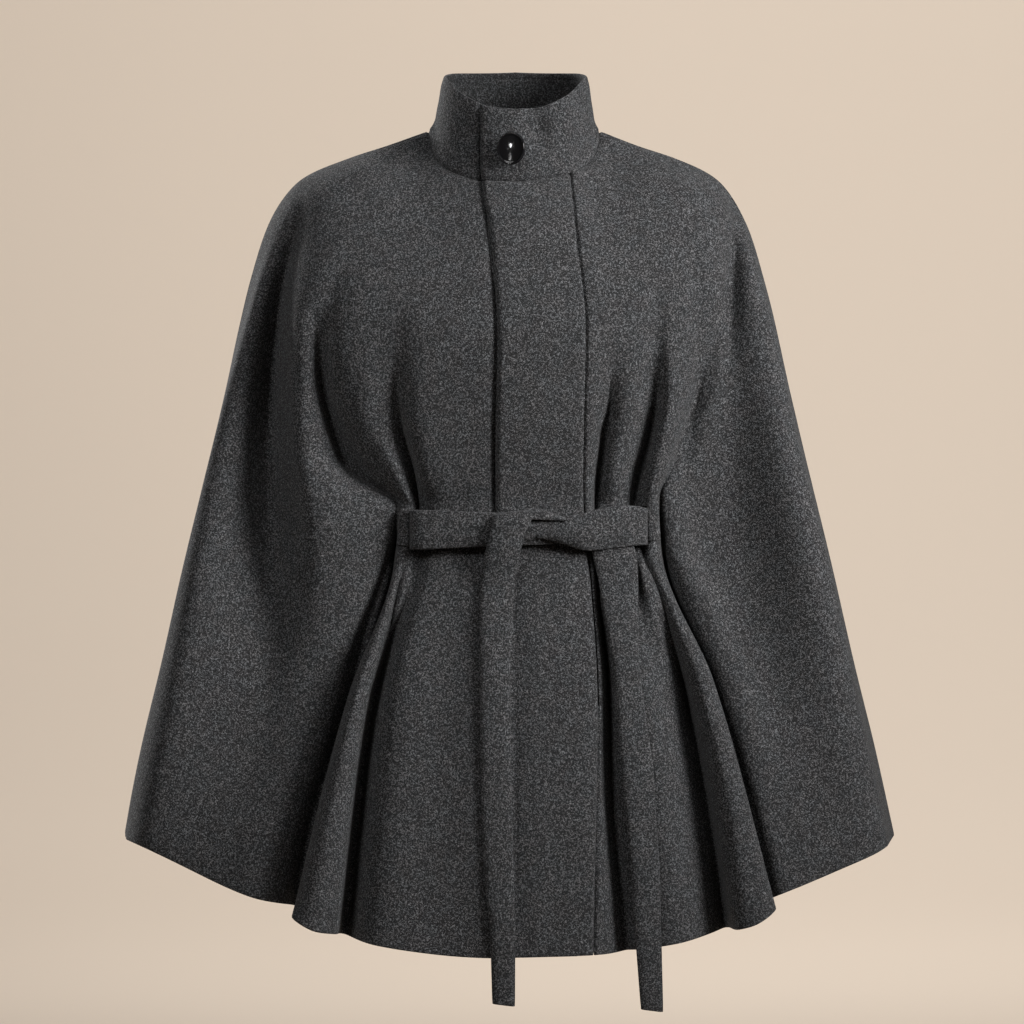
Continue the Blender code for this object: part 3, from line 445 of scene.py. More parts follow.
# The loop of cloth over the knot: an arch from front to back at each x.
KNOT = [
    # x, heights at its front edge, its top and its back edge
    (13, -388.4, -379.9, -388),
    (20, -388.4, -379.8, -388),
    (27, -388.6, -380.2, -388),
    (34, -388.9, -382, -388.2),
    (41, -389.2, -384.4, -388.4),
    (47, -389.4, -386.8, -388.8),
    (52.5, -389.6, -388.8, -389.4),
]
KNOT_DEPTH = -111.4  # y of the arch's top
KNOT_REACH = 4.8  # from its top to its front or back edge
KNOT_HAUNCH = 0.8  # the arch's haunches lie at this share of its reach
ARC_STEPS = 4  # stretches between two points of a knot's arch or of the button's profile

BUTTON_CENTRE = (-1.5, -79.0, -24.5)
BUTTON_TURN = 20.0  # degrees, towards the wearer's right
BUTTON_SIDES = 72
BUTTON_RADIUS = 16.1
BUTTON_SQUEEZE = 0.907  # its width over its height
BUTTON_THICK = 4.2
BUTTON_RIM = 2.4  # width of the raised rim
BUTTON_DISH = 0.45  # depth of the middle under the rim's shoulder
SHANK_RADIUS, SHANK_LENGTH = 3.4, 7.6
AXIS_HOLE = 0.02  # radius at which the button's turned profile starts and ends
BUTTON_PROFILE = [
    # distance from the shank's axis, height over the rim's shoulder
    (AXIS_HOLE, -BUTTON_DISH),
    (BUTTON_RADIUS * 0.3, -BUTTON_DISH * 0.87),
    (BUTTON_RADIUS * 0.6, -BUTTON_DISH * 0.5),
    (BUTTON_RADIUS - BUTTON_RIM, 0.0),
    (BUTTON_RADIUS - BUTTON_RIM * 0.55, 0.5),
    (BUTTON_RADIUS - BUTTON_RIM * 0.2, 0.2),
    (BUTTON_RADIUS, -0.9),
    (BUTTON_RADIUS, -BUTTON_THICK * 0.6),
    (BUTTON_RADIUS * 0.9, -BUTTON_THICK),
    (SHANK_RADIUS, -BUTTON_THICK),
    (SHANK_RADIUS, -SHANK_LENGTH),
    (AXIS_HOLE, -SHANK_LENGTH),
]


def seen(view_x, view_z, y):
    """A point read from straight in front, at depth y."""
    nearer = 1 + y / VIEW_DISTANCE
    return np.array([view_x * nearer, y, VIEW_HEIGHT + (view_z - VIEW_HEIGHT) * nearer])


def viewed(points):
    """view_x and view_z of each point."""
    nearer = 1 + points[..., 1] / VIEW_DISTANCE
    return points[..., 0] / nearer, VIEW_HEIGHT + (points[..., 2] - VIEW_HEIGHT) / nearer


def smooth_through(xs, ys, x):
    """Values at x of a smooth curve through the points, which never swings past them."""
    xs, ys, x = np.asarray(xs, float), np.asarray(ys, float), np.asarray(x, float)
    steps = np.diff(xs)
    slopes = np.diff(ys) / steps
    ends = np.zeros(len(xs))
    ends[0], ends[-1] = slopes[0], slopes[-1]
    for i in range(1, len(xs) - 1):
        before, after = slopes[i - 1], slopes[i]
        if before * after > 0:
            wide, narrow = 2 * steps[i] + steps[i - 1], steps[i] + 2 * steps[i - 1]
            ends[i] = (wide + narrow) / (wide / before + narrow / after)
    i = np.clip(np.searchsorted(xs, x) - 1, 0, len(steps) - 1)
    t = (x - xs[i]) / steps[i]
    level = (1 + 2 * t) * (1 - t) ** 2 * ys[i] + t * t * (3 - 2 * t) * ys[i + 1]
    return level + steps[i] * (t * (1 - t) ** 2 * ends[i] - t * t * (1 - t) * ends[i + 1])


def ease(t):
    """A smooth step from 0 to 1."""
    t = np.clip(t, 0.0, 1.0)
    return t * t * (3 - 2 * t)


def levels(shares):
    """The rings' sizes at these shares of the cloth's length."""
    table = np.array(LEVELS)
    return [smooth_through(table[:, 0], table[:, k], shares) for k in range(1, table.shape[1])]


def front_heights(shares, across, sizes):
    """Heights of front points that lie this far across their rings, from -1 to 1."""
    z_front, z_side, climb = sizes[4], sizes[5], sizes[7]
    part = np.minimum(np.abs(across), 1.0)
    neck = smooth_through(*zip(*NECK_CLIMB), np.degrees(np.arcsin(part)))
    rise = neck + (part**climb - neck) * ease(shares / STATIONS[0])
    return z_front + (z_side - z_front) * rise


def front_line(line, shares, sizes):
    """Where this line of FRONT_LINES crosses each ring."""
    _, angle, places, pushes, drop = line
    half, middle, front = sizes[:3]
    if places is None:
        across = np.full(len(shares), math.copysign(1.0, angle))
        x, y = middle + across * half, np.zeros(len(shares))
        return np.stack([x, y, front_heights(shares, across, sizes)], axis=1)
    _, neck_half, neck_middle, neck_front = LEVELS[0][:4]
    neck_x = neck_middle + neck_half * math.sin(math.radians(angle))
    neck_y = -neck_front * math.cos(math.radians(angle))
    neck_place = neck_x / (1 + neck_y / VIEW_DISTANCE)
    push = smooth_through((0.0,) + STATIONS, (0.0,) + pushes, shares)
    place = smooth_through((0.0,) + STATIONS, (neck_place,) + places, shares)
    y = -front
    for _ in range(SETTLING):
        x = place * (1 + y / VIEW_DISTANCE)
        across = np.clip((x - middle) / half, -SIDE_LIMIT, SIDE_LIMIT)
        y = -front * np.sqrt(1 - across**2) - push
    longer = drop * ease((shares - BELT_LOW) / (1 - BELT_LOW))
    return np.stack([x, y, front_heights(shares, across, sizes) - longer], axis=1)


def back_push(across, shares):
    """How far the back's folds stand out here, all together."""
    total = np.zeros(len(shares))
    for centre, spread, *pushes in BACK_FOLDS:
        push = smooth_through(BACK_STATIONS, [0.0] + pushes, shares)
        total += push * math.exp(-(((across - centre) / spread) ** 2))
    return total


def back_line(turn, shares, sizes):
    """turn runs from 0 at the wearer's left side seam to 1 at the right one."""
    half, middle, _, back, _, z_side, z_back, climb = sizes
    across = math.cos(math.pi * turn)
    square = math.sin(math.pi * turn)
    rise = abs(across) ** np.where(shares >= STATIONS[0], climb, YOKE_CLIMB)
    x = middle + half * across
    y = back * square + back_push(across, shares) * math.sqrt(square)
    return np.stack([x, y, z_back + (z_side - z_back) * rise], axis=1)


NAMES = [line[0] for line in FRONT_LINES]
RING_COUNT = len(FRONT_LINES) + BACK_LINES


def rings(shares):
    """The rings' points: the front's lines from right to left, then the back's."""
    sizes = levels(shares)
    lines = [front_line(line, shares, sizes) for line in FRONT_LINES]
    lines += [back_line((k + 1) / (BACK_LINES + 1), shares, sizes) for k in range(BACK_LINES)]
    return np.stack(lines, axis=1)


def along_rings(points, place):
    """The point at this place of the smooth closed curve through each ring's points."""
    count = points.shape[1]
    i = math.floor(place)
    t = place - i
    a, b, c, d = (points[:, (i + k) % count] for k in (-1, 0, 1, 2))
    reach = [
        np.sqrt(np.maximum(np.linalg.norm(q - p, axis=1, keepdims=True), TINY))
        for p, q in ((a, b), (b, c), (c, d))
    ]
    leave = (b - a) / reach[0] - (c - a) / (reach[0] + reach[1]) + (c - b) / reach[1]
    arrive = (c - b) / reach[1] - (d - b) / (reach[1] + reach[2]) + (d - c) / reach[2]
    leave, arrive = leave * reach[1], arrive * reach[1]
    base = (1 + 2 * t) * (1 - t) ** 2 * b + t * t * (3 - 2 * t) * c
    return base + t * (1 - t) ** 2 * leave - t * t * (1 - t) * arrive


def collar_points(neck_points, rise):
    """The collar's points above these of the neck seam; rise is 0 there and 1 at the rim."""
    _, half, middle, front, back = LEVELS[0][:5]
    x, y, z = neck_points.T
    sine = np.clip((x - middle) / half, -1, 1)
    angle = np.arctan2(sine, -y / np.where(y < 0, front, back))
    angle -= COLLAR_TWIST * np.maximum(np.cos(angle), 0.0) ** 2
    sine, cosine = np.sin(angle), np.cos(angle)
    rim_depth = np.where(cosine > 0, RIM_FRONT, RIM_BACK)
    rim_x, rim_y = RIM_MIDDLE + RIM_HALF * sine, -rim_depth * cosine
    rim_z = smooth_through(*zip(*RIM_HEIGHT), np.degrees(np.abs(angle)))
    kept = smooth_through(*zip(*COLLAR_FLARE), rise)
    return np.stack([rim_x + (x - rim_x) * kept, rim_y + (y - rim_y) * kept, z + (rim_z - z) * rise], 1)


def spiral_places(points):
    """Places along the ring from the under layer's end, round the back, to the free edge."""
    place = NAMES.index("placket_mid") + UNDER_END
    end = NAMES.index("free_edge") - RING_COUNT
    places = []
    while place > end:
        line = math.ceil(place) - 1
        index = line % RING_COUNT
        widest = np.linalg.norm(points[:, index] - points[:, (index + 1) % RING_COUNT], axis=1).max()
        cell = LINE_CELLS.get(NAMES[index], FRONT_CELL) if index < len(NAMES) - 1 else BACK_CELL
        columns = math.ceil(widest / cell)
        parts = np.arange(columns) / columns
        if NAMES[index + 1 : index + 2] in DENSE_LINES:
            parts = parts**DENSITY
        elif NAMES[index : index + 1] in DENSE_LINES:
            parts = 1 - (1 - parts) ** DENSITY
        places += list(place + (line - place) * parts)
        place = line
    return np.array(places + [end])


def laps_of(places):
    """How far the top layer is moved out at each place of the spiral."""
    seam = NAMES.index("placket_seam") - RING_COUNT
    flat = NAMES.index("slit_in_left") - RING_COUNT
    return LAP * (1 - ease((places - seam) / (flat - seam)))


def unit(vectors):
    return vectors / np.maximum(np.linalg.norm(vectors, axis=-1, keepdims=True), TINY)


def normals_of(grid):
    """At each point, the direction halfway between the cells that meet there."""
    across = grid[1:, 1:] - grid[:-1, :-1]
    down = grid[1:, :-1] - grid[:-1, 1:]
    faces = unit(np.cross(across, down))
    total = np.zeros(grid.shape)
    for i in (0, 1):
        for j in (0, 1):
            total[i : i + faces.shape[0], j : j + faces.shape[1]] += faces
    return unit(total)


def drawn_in(grid, normals, sides, gap):
    """The grid with the named sides drawn in along the cloth and pressed down, as a seam is."""
    grid = grid.copy()
    for side in sides:
        view, ups = (a if side in ("first", "last") else a.swapaxes(0, 1) for a in (grid, normals))
        if side in ("last", "bottom"):
            view, ups = view[:, ::-1], ups[:, ::-1]
        for line, up in zip(view, ups):
            length = np.concatenate([[0.0], np.cumsum(np.linalg.norm(np.diff(line, axis=0), axis=1))])
            reach = min(SEAM_REACH, length[-1] / 2)
            closer = gap + (length / reach) ** SEAM_CLOSER * (reach - gap)
            moved = np.where(length < reach, closer, length)
            press = SEAM_PRESS * np.exp(-((moved / SEAM_SOFT) ** 2))
            line[:] = np.stack([np.interp(moved, length, line[:, k]) for k in range(3)], axis=1)
            line -= up * press[:, None]
    return grid


def cloth(grid, wall, holes=None, normals=None):
    """Points and faces of one closed wall of cloth on the grid, with rounded edges."""
    rows, columns = grid.shape[:2]
    if normals is None:
        normals = normals_of(grid)
    kept = np.ones((rows - 1, columns - 1), bool)
    if holes:
        kept[holes] = False
    i, j = np.nonzero(kept)
    corner = i * columns + j
    quads = np.stack([corner, corner + 1, corner + columns + 1, corner + columns], axis=1)
    starts, ends = quads.reshape(-1), np.roll(quads, -1, axis=1).reshape(-1)
    count = rows * columns
    forward, backward = starts * count + ends, ends * count + starts
    free = ~np.isin(forward, backward)
    starts, ends = starts[free], ends[free]
    flat, up = grid.reshape(-1, 3), normals.reshape(-1, 3)
    outward = np.zeros(flat.shape)
    edge_up = up[starts] + up[ends]
    away = unit(np.cross(flat[ends] - flat[starts], edge_up))
    middles = (flat[quads[:, 0]] + flat[quads[:, 2]]) / 2
    owner = np.nonzero(free)[0] // 4
    toward = ((flat[starts] + flat[ends]) / 2 - middles[owner]) * away
    away *= np.sign(toward.sum(axis=1))[:, None]
    np.add.at(outward, starts, away)
    np.add.at(outward, ends, away)
    outward = unit(outward - (outward * up).sum(axis=1, keepdims=True) * up)
    half = wall / 2
    edge = np.unique(starts)
    layers = [flat + up * half, flat - up * half]
    place = np.full(count, -1)
    place[edge] = np.arange(len(edge))
    chain = [np.arange(count)]
    for k in range(RIM_STEPS):
        angle = math.pi * (k + 1) / (RIM_STEPS + 1)
        layers.append(flat[edge] + half * (math.cos(angle) * up[edge] + math.sin(angle) * outward[edge]))
        chain.append(2 * count + k * len(edge) + place)
    chain.append(np.arange(count) + count)
    faces = [quads, quads[:, ::-1] + count]
    for upper, lower in zip(chain, chain[1:]):
        faces.append(np.stack([upper[ends], upper[starts], lower[starts], lower[ends]], axis=1))
    return np.concatenate(layers), np.concatenate(faces)


def joined(parts):
    """Points and faces of several bodies as one."""
    points, faces, first = [], [], 0
    for some, those in parts:
        points.append(some)
        faces.append(those + first)
        first += len(some)
    return np.concatenate(points), np.concatenate(faces)


def piece(name, points, faces, material, nodes):
    """One object from points in millimetres and quads, which stands for these nodes."""
    used, order = np.unique(faces, return_inverse=True)
    faces = order.reshape(faces.shape)
    points = points[used] * MM
    a, b, c, d = (points[faces[:, k]] for k in range(4))
    volume = np.einsum("ij,ij->", a, np.cross(b, c)) + np.einsum("ij,ij->", a, np.cross(c, d))
    if volume < 0:
        faces = faces[:, ::-1]
    mesh = bpy.data.meshes.new(name)
    mesh.vertices.add(len(points))
    mesh.vertices.foreach_set("co", points.reshape(-1))
    mesh.loops.add(faces.size)
    mesh.loops.foreach_set("vertex_index", faces.reshape(-1))
    mesh.polygons.add(len(faces))
    mesh.polygons.foreach_set("loop_start", np.arange(0, faces.size, 4))
    mesh.update(calc_edges=True)
    mesh.shade_smooth()
    mesh.materials.append(material)
    made = shown(name, mesh)
    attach(made, "root")
    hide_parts(*nodes)
    return made


def creased(grid):
    """The grid with the creases pressed straight in, those of the front and those of the back."""
    view_x, view_z = viewed(grid)
    depth = np.zeros(view_x.shape)
    for creases, toward in ((FRONT_CREASES, 1.0), (BACK_CREASES, -1.0)):
        shown = ease(-toward * grid[..., 1] / CREASE_FADE)
        for rows in creases.values():
            depth += toward * shown * crease_depth(through(rows, CREASE_STEPS), view_x, view_z)
    moved = grid.copy()
    moved[..., 1] += depth
    return moved


def crease_depth(rows, view_x, view_z):
    """How deep one crease is at each place."""
    nearest = np.full(view_x.shape, np.inf)
    deep = np.zeros(view_x.shape)
    for a, b in zip(rows, rows[1:]):
        along_x, along_z = b[:2] - a[:2]
        off_x, off_z = view_x - a[0], view_z - a[1]
        t = np.clip((off_x * along_x + off_z * along_z) / (along_x**2 + along_z**2), 0, 1)
        off_x, off_z = off_x - t * along_x, off_z - t * along_z
        left, right, deepest = (a[k] + (b[k] - a[k]) * t for k in (2, 3, 4))
        width = np.where(along_x * off_z - along_z * off_x > 0, right, left)
        part = np.hypot(off_x, off_z) / width
        closer = part < nearest
        nearest = np.where(closer, part, nearest)
        deep = np.where(closer, deepest, deep)
    return deep * np.exp(-(nearest**CREASE_POINT))


def cape_grid():
    """Places of the columns and the middle surface of collar and cape."""
    shares = np.concatenate([
        np.linspace(0.0, BELT_TOP, CAPE_ROWS[0] + 1)[:-1],
        np.linspace(BELT_TOP, BELT_LOW, CAPE_ROWS[1] + 1)[:-1],
        np.linspace(BELT_LOW, 1.0, CAPE_ROWS[2] + 1),
    ])
    points = rings(shares)
    places = spiral_places(points)
    cape = np.stack([along_rings(points, place) for place in places], axis=1)
    steps = np.linalg.norm(np.diff(cape[0], axis=0), axis=1)
    from_edge = np.append(np.cumsum(steps[::-1])[::-1], 0.0)
    short = CORNER_ROUND - np.minimum(from_edge, CORNER_ROUND)
    lowered = (CORNER_ROUND - np.sqrt(CORNER_ROUND**2 - short**2)) / COLLAR_FRONT
    collar = np.stack([collar_points(cape[0], rise * (1 - lowered)) for rise in COLLAR_RISES])
    grid = np.concatenate([collar, cape])
    grid = grid + normals_of(grid) * laps_of(places)[None, :, None]
    return places, creased(grid)


def through(rows, per_step):
    """Rows of a smooth curve through the table's rows."""
    rows = np.array(rows, float)
    ends = np.concatenate([[2 * rows[0] - rows[1]], rows, [2 * rows[-1] - rows[-2]]])
    made = []
    for i in range(1, len(ends) - 2):
        a, b, c, d = ends[i - 1 : i + 3]
        for k in range(per_step):
            t = k / per_step
            made.append(
                0.5 * (2 * b + (c - a) * t + (2 * a - 5 * b + 4 * c - d) * t**2
                       + (3 * b - a - 3 * c + d) * t**3)
            )
    made.append(ends[-2])
    return np.array(made)


def resting(table, front, lean):
    """A band's middle surface, clear of what is behind it where its table gives no depth."""
    rows = []
    ends = None
    for left, left_z, right, right_z, y in table:
        ends = (y, y) if y else front_behind((left_z + right_z) / 2, left, right, front) or ends
        rows.append((left, left_z, right, right_z, ends[0] - max(lean, 0.0), ends[1] + min(lean, 0.0)))
    parts = np.linspace(0, 1, BAND_COLUMNS + 1)
    rows = through(rows, BAND_STEPS)
    roll = [np.array([0.0, 0.0, EDGE_ROLL * abs(2 * part - 1) ** ROLL_POWER]) for part in parts]
    return np.array([
        [
            seen(*((1 - part) * row[[0, 1, 4]] + part * row[[2, 3, 5]] + back))
            for part, back in zip(parts, roll)
        ]
        for row in rows
    ])


def front_behind(view_z, left, right, front):
    """Depths of a straight stretch's two ends that clear the panels behind it."""
    samples = []
    for part in np.linspace(0, 1, FEELERS):
        view_x = left + (right - left) * part
        for step in np.linspace(-TAIL_SPAN, TAIL_SPAN, 5):
            origin = seen(view_x, view_z + step, IN_FRONT)
            target = seen(view_x, view_z + step, 0.0)
            hit = front.ray_cast(Vector(origin * MM), Vector(target - origin))[0]
            if hit:
                samples.append((part, hit.y / MM))
    if not samples:
        return None
    first = min(y for part, y in samples if part == samples[0][0])
    last = min(y for part, y in samples if part == samples[-1][0])
    first, last = min(first, last + TAIL_TILT), min(last, first + TAIL_TILT)
    ahead = min(y - (first + (last - first) * part) for part, y in samples)
    move = min(ahead, 0.0) - CLOTH / 2 - TAIL_CLEAR
    return first + move, last + move


def surfaces(objects):
    """The objects' surfaces, to rest things on."""
    points, faces = [], []
    for made in objects:
        first = len(points)
        points += [vertex.co.copy() for vertex in made.data.vertices]
        faces += [tuple(k + first for k in face.vertices) for face in made.data.polygons]
    return BVHTree.FromPolygons(points, faces)


def column_of(places, name, top_layer=False):
    """The column that runs along this line; the top layer's lines lie past the back."""
    place = NAMES.index(name) - (RING_COUNT if top_layer else 0)
    return int(np.argmin(np.abs(places - place)))


def between(places, lines, top_layer):
    """The columns of two lines, the first of the two columns first."""
    return sorted(column_of(places, line, top_layer) for line in lines)


# ---- materials

WOOL_TONE = (0.0270, 0.0270, 0.0282)
GROUND_SHARE, FIBRE_SHARE = 0.3, 4.2  # of that tone, between the pale fibres and in them
COOL, WARM = (0.975, 1.0, 1.0, 1.0), (1.02, 1.0, 0.98, 1.0)  # tints between which the wool wanders
WHITE = (1.0, 1.0, 1.0, 1.0)
BELT_OFFSET = 0.7  # how far the belt's flecks are shifted from the cape's
# The pale fibres: the size of each kind of curl as a noise's scale, and its width there, how they
# bend, the scale at which they break off, and that at which the wool's tint wanders.
CURLS = ((420.0, 0.055), (600.0, 0.07))
CURL_BEND, BREAK_SCALE, TINT_SCALE = 1.2, 620.0, 70.0
NAP_STRENGTH, NAP_DEPTH = 0.6, 0.0002
MIX_INPUTS, MIX_OUTPUT = (0, 6, 7), 2  # a colour mix's amount, its two colours, and its result
PAINTED_SHADE_MARK = "inside"  # 1 on the collar's inner side, where the wool is darkened as painted shade
PAINTED_SHADE_TONE = (0.5, 0.5, 0.5, 1.0)  # painted shade: by which the outside's tone is multiplied on the collar's inner side
PLASTIC_TONE = (0.005, 0.005, 0.0055, 1.0)


def shown(name, data):
    """A new object that holds this data, in the scene."""
    made = bpy.data.objects.new(name, data)
    bpy.context.scene.collection.objects.link(made)
    return made


def new_material(name):
    """A material, its nodes' tree and its shader."""
    made = bpy.data.materials.new(name)
    made.use_nodes = True
    return made, made.node_tree, made.node_tree.nodes["Principled BSDF"]


def set_inputs(tree, node, inputs):
    """Each input is set to its value, or linked where that is another node's output."""
    for socket, value in inputs.items():
        if isinstance(value, bpy.types.NodeSocket):
            tree.links.new(value, node.inputs[socket])
        else:
            node.inputs[socket].default_value = value


def new_node(tree, kind, output, inputs, **settings):
    """This output of a new node."""
    node = tree.nodes.new("ShaderNode" + kind)
    for name, value in settings.items():
        setattr(node, name, value)
    set_inputs(tree, node, inputs)
    return node.outputs[output]


def wool(name, tone, offset):
    """Felted melange wool: pale curling fibres on a dark ground, darkened by painted shade where the mesh's
    mark is 1.
    """
    made, tree, shader = new_material(name)
    place = new_node(tree, "TexCoord", "Object", {})
    shift = {"Vector": place, "Location": (offset, offset * 2, offset * 3)}
    shifted = new_node(tree, "Mapping", "Vector", shift)

    def noise(scale, detail, distortion):
        inputs = {"Vector": shifted, "Scale": scale, "Detail": detail, "Distortion": distortion}
        return new_node(tree, "TexNoise", "Fac", inputs)

    def mapped(value, low, high, to_low, to_high):
        inputs = {"Value": value, "From Min": low, "From Max": high, "To Min": to_low, "To Max": to_high}
        return new_node(tree, "MapRange", "Result", inputs, interpolation_type="SMOOTHSTEP")

    def maths(operation, *values):
        return new_node(tree, "Math", "Value", dict(enumerate(values)), operation=operation)

    def mixed(amount, first, second, blend="MIX"):
        inputs = dict(zip(MIX_INPUTS, (amount, first, second)))
        return new_node(tree, "Mix", MIX_OUTPUT, inputs, data_type="RGBA", blend_type=blend)

    def curls(scale, width):
        away = maths("ABSOLUTE", maths("SUBTRACT", noise(scale, 0.0, CURL_BEND), 0.5))
        return mapped(away, 0.0, width, 1.0, 0.0)

    broken = mapped(noise(BREAK_SCALE, 0.0, 0.0), 0.38, 0.6, 0.1, 1.0)
    fibre = maths("MULTIPLY", maths("MAXIMUM", *(curls(*kind) for kind in CURLS)), broken)
    ground, pale = ((*(channel * share for channel in tone), 1.0) for share in (GROUND_SHARE, FIBRE_SHARE))
    colour = mixed(fibre, ground, pale)
    tint = mixed(mapped(noise(TINT_SCALE, 2.0, 0.0), 0.35, 0.65, 0.0, 1.0), COOL, WARM)
    colour = mixed(1.0, colour, tint, "MULTIPLY")
    # painted shade: the wool is darkened on the collar's inner side, where the mark is 1
    painted_shade_amount = new_node(tree, "Attribute", "Fac", {}, attribute_name=PAINTED_SHADE_MARK)
    colour = mixed(1.0, colour, mixed(painted_shade_amount, WHITE, PAINTED_SHADE_TONE), "MULTIPLY")
    bump = {"Strength": NAP_STRENGTH, "Distance": NAP_DEPTH, "Height": fibre}
    set_inputs(tree, shader, {
        "Base Color": colour,
        "Normal": new_node(tree, "Bump", "Normal", bump),
        "Roughness": 0.95,
        "Specular IOR Level": 0.15,
        "Sheen Weight": 0.03,
        "Sheen Roughness": 0.5,
        "Sheen Tint": WHITE,
    })
    return made


def gloss(name):
    """Polished black plastic, faintly uneven."""
    made, tree, shader = new_material(name)
    place = new_node(tree, "TexCoord", "Object", {})
    noise = new_node(tree, "TexNoise", "Fac", {"Vector": place, "Scale": 300.0})
    roughness = new_node(tree, "MapRange", "Result", {"Value": noise, "To Min": 0.04, "To Max": 0.09})
    set_inputs(tree, shader, {
        "Base Color": PLASTIC_TONE,
        "Roughness": roughness,
        "Specular IOR Level": 0.2,
    })
    return made


# ---- pieces


def press_facing(points, middle, normals):
    """Presses the facing's seam into the collar's inner layer."""
    rows, columns = middle.shape[:2]
    row = COLLAR_RISES.index(FACING_SEAM)
    first = (rows + row) * columns
    pressed = FACING_PRESS * ease(middle[row, :, 1] / FACING_FADE)
    points[first : first + columns] += normals[row] * pressed[:, None]


def mark_painted_shade(mesh, layer):
    """Marks the inner side of a wall that has this many points a side, where the wool is darkened as
    painted shade.
    """
    inside = np.zeros(len(mesh.vertices))
    inside[layer : 2 * layer] = 1.0
    mesh.attributes.new(PAINTED_SHADE_MARK, "FLOAT", "POINT").data.foreach_set("value", inside)


def make_cape():
    """The collar, fronts, placket, back and slit welts, all cut from one surface."""
    places, grid = cape_grid()
    normals = normals_of(grid)
    neck = len(COLLAR_RISES)
    belt_rows = (neck + CAPE_ROWS[0], neck + CAPE_ROWS[0] + CAPE_ROWS[1])
    last_row, last_column = len(grid) - 1, len(places) - 1
    side_right = column_of(places, "side_right")
    side_left = column_of(places, "side_left", True)
    placket_seam = column_of(places, "placket_seam", True)
    slits = {
        "front_right": between(places, ("slit_in_right", "slit_out_right"), False),
        "front_left": between(places, ("slit_in_left", "slit_out_left"), True),
    }
    made = {}
    material = wool("melange_wool", WOOL_TONE, 0.0)
    for name, rows, columns, seams, wall in (
        ("collar", (0, neck), (0, last_column), ("bottom",), COLLAR_WALL),
        ("front_right", (neck, last_row), (0, side_right), ("top", "last"), CLOTH),
        ("back", (neck, last_row), (side_right, side_left), ("top", "first", "last"), CLOTH),
        ("front_left", (neck, last_row), (side_left, placket_seam), ("top", "first", "last"), CLOTH),
        ("front_placket", (neck, last_row), (placket_seam, last_column), ("top", "first"), CLOTH),
    ):
        part = (slice(rows[0], rows[1] + 1), slice(columns[0], columns[1] + 1))
        holes = None
        if name in slits:
            first, last = (column - columns[0] for column in slits[name])
            if name == "front_right":
                first += round((last - first) * SLIT_COVERED)
            else:
                last -= round((last - first) * SLIT_COVERED)
            upper, lower = (row - rows[0] for row in belt_rows)
            holes = (slice(upper + SLIT_ROWS, lower - SLIT_ROWS), slice(first, last))
        middle = drawn_in(grid[part], normals[part], seams, wall / 2 - SEAM_OVERLAP)
        points, faces = cloth(middle, wall, holes, normals[part])
        if name == "collar":
            press_facing(points, middle, normals[part])
        made[name] = piece(name + "_wool", points, faces, material, [name])
    # the collar's inner side is marked for painted shade, so the wool is darker there
    mark_painted_shade(made["collar"].data, (neck + 1) * len(places))

    out = CLOTH / 2 + WELT_GAP + WELT_WALL / 2
    for name, lines, top_layer in (
        ("slit_welt_right", ("slit_out_right", "ridge_out_right"), False),
        ("slit_welt_left", ("slit_out_left", "ridge_out_left"), True),
    ):
        first, last = between(places, lines, top_layer)
        part = (slice(belt_rows[0] + SLIT_ROWS, belt_rows[1] + 1 - SLIT_ROWS), slice(first, last + 1))
        points, faces = cloth(grid[part] + normals[part] * out, WELT_WALL, None, normals[part])
        made[name] = piece(name + "_wool", points, faces, material, [name])
    return made


def band(rows):
    """A band's middle surface from rows of x, y, z, width and bulge."""
    parts = np.linspace(0.5, -0.5, BAND_COLUMNS + 1)
    return np.array([
        [(x, y - bulge * (1 - 4 * part**2), z + width * part) for part in parts]
        for x, y, z, width, bulge in rows
    ])


def make_belt(fronts):
    """The belt round the waist, its knot, and its two ends, which rest on these fronts."""
    material = wool("melange_wool_belt", WOOL_TONE, BELT_OFFSET)
    made = {}
    front = surfaces(fronts)
    course = cloth(band(through(BELT_COURSE, BAND_STEPS)), CLOTH)
    behind = cloth(resting(KNOT_BEHIND, front, 0.0), CLOTH)
    points, faces = joined([course, behind])
    made["belt_waist"] = piece("belt_waist_wool", points, faces, material, ["belt_waist"])
    for name, table in (("belt_tail_right", TAIL_RIGHT), ("belt_tail_left", TAIL_LEFT)):
        points, faces = cloth(resting(table, front, TAIL_LEANS[name]), CLOTH)
        made[name] = piece(name + "_wool", points, faces, material, [name])
    arches = []
    for x, front_edge, top, back_edge in through(KNOT, BAND_STEPS):
        heights = (front_edge, (front_edge + 2 * top) / 3, top, (back_edge + 2 * top) / 3, back_edge)
        reaches = (-KNOT_REACH, -KNOT_REACH * KNOT_HAUNCH, 0.0, KNOT_REACH * KNOT_HAUNCH, KNOT_REACH)
        arch = [(x, KNOT_DEPTH + reach, z) for z, reach in zip(heights, reaches)]
        arches.append(through(arch, ARC_STEPS))
    points, faces = cloth(np.array(arches), CLOTH)
    made["belt_knot"] = piece("belt_knot_wool", points, faces, material, ["belt_knot"])
    return made


def make_button():
    """A dished disc with a raised rim, on a shank; its profile is turned about the shank."""
    turn = math.radians(-BUTTON_TURN)
    cosine, sine = math.cos(turn), math.sin(turn)
    angles = np.linspace(0, 2 * math.pi, BUTTON_SIDES, endpoint=False)
    points = []
    for distance, front in through(BUTTON_PROFILE, ARC_STEPS):
        x, z = distance * np.cos(angles) * BUTTON_SQUEEZE, distance * np.sin(angles)
        points.append(np.stack([x * cosine + front * sine, x * sine - front * cosine, z], axis=1))
    points = np.array(points)
    rows, columns = points.shape[:2]
    i, j = np.mgrid[0 : rows - 1, 0:columns]
    after = (j + 1) % columns
    here, below = i * columns, (i + 1) * columns
    faces = np.stack([here + j, below + j, below + after, here + after], axis=-1)
    points = points.reshape(-1, 3) + BUTTON_CENTRE
    return piece("button_gloss", points, faces.reshape(-1, 4), gloss("black_gloss"), ["button"])


# ---- stage, lights and camera

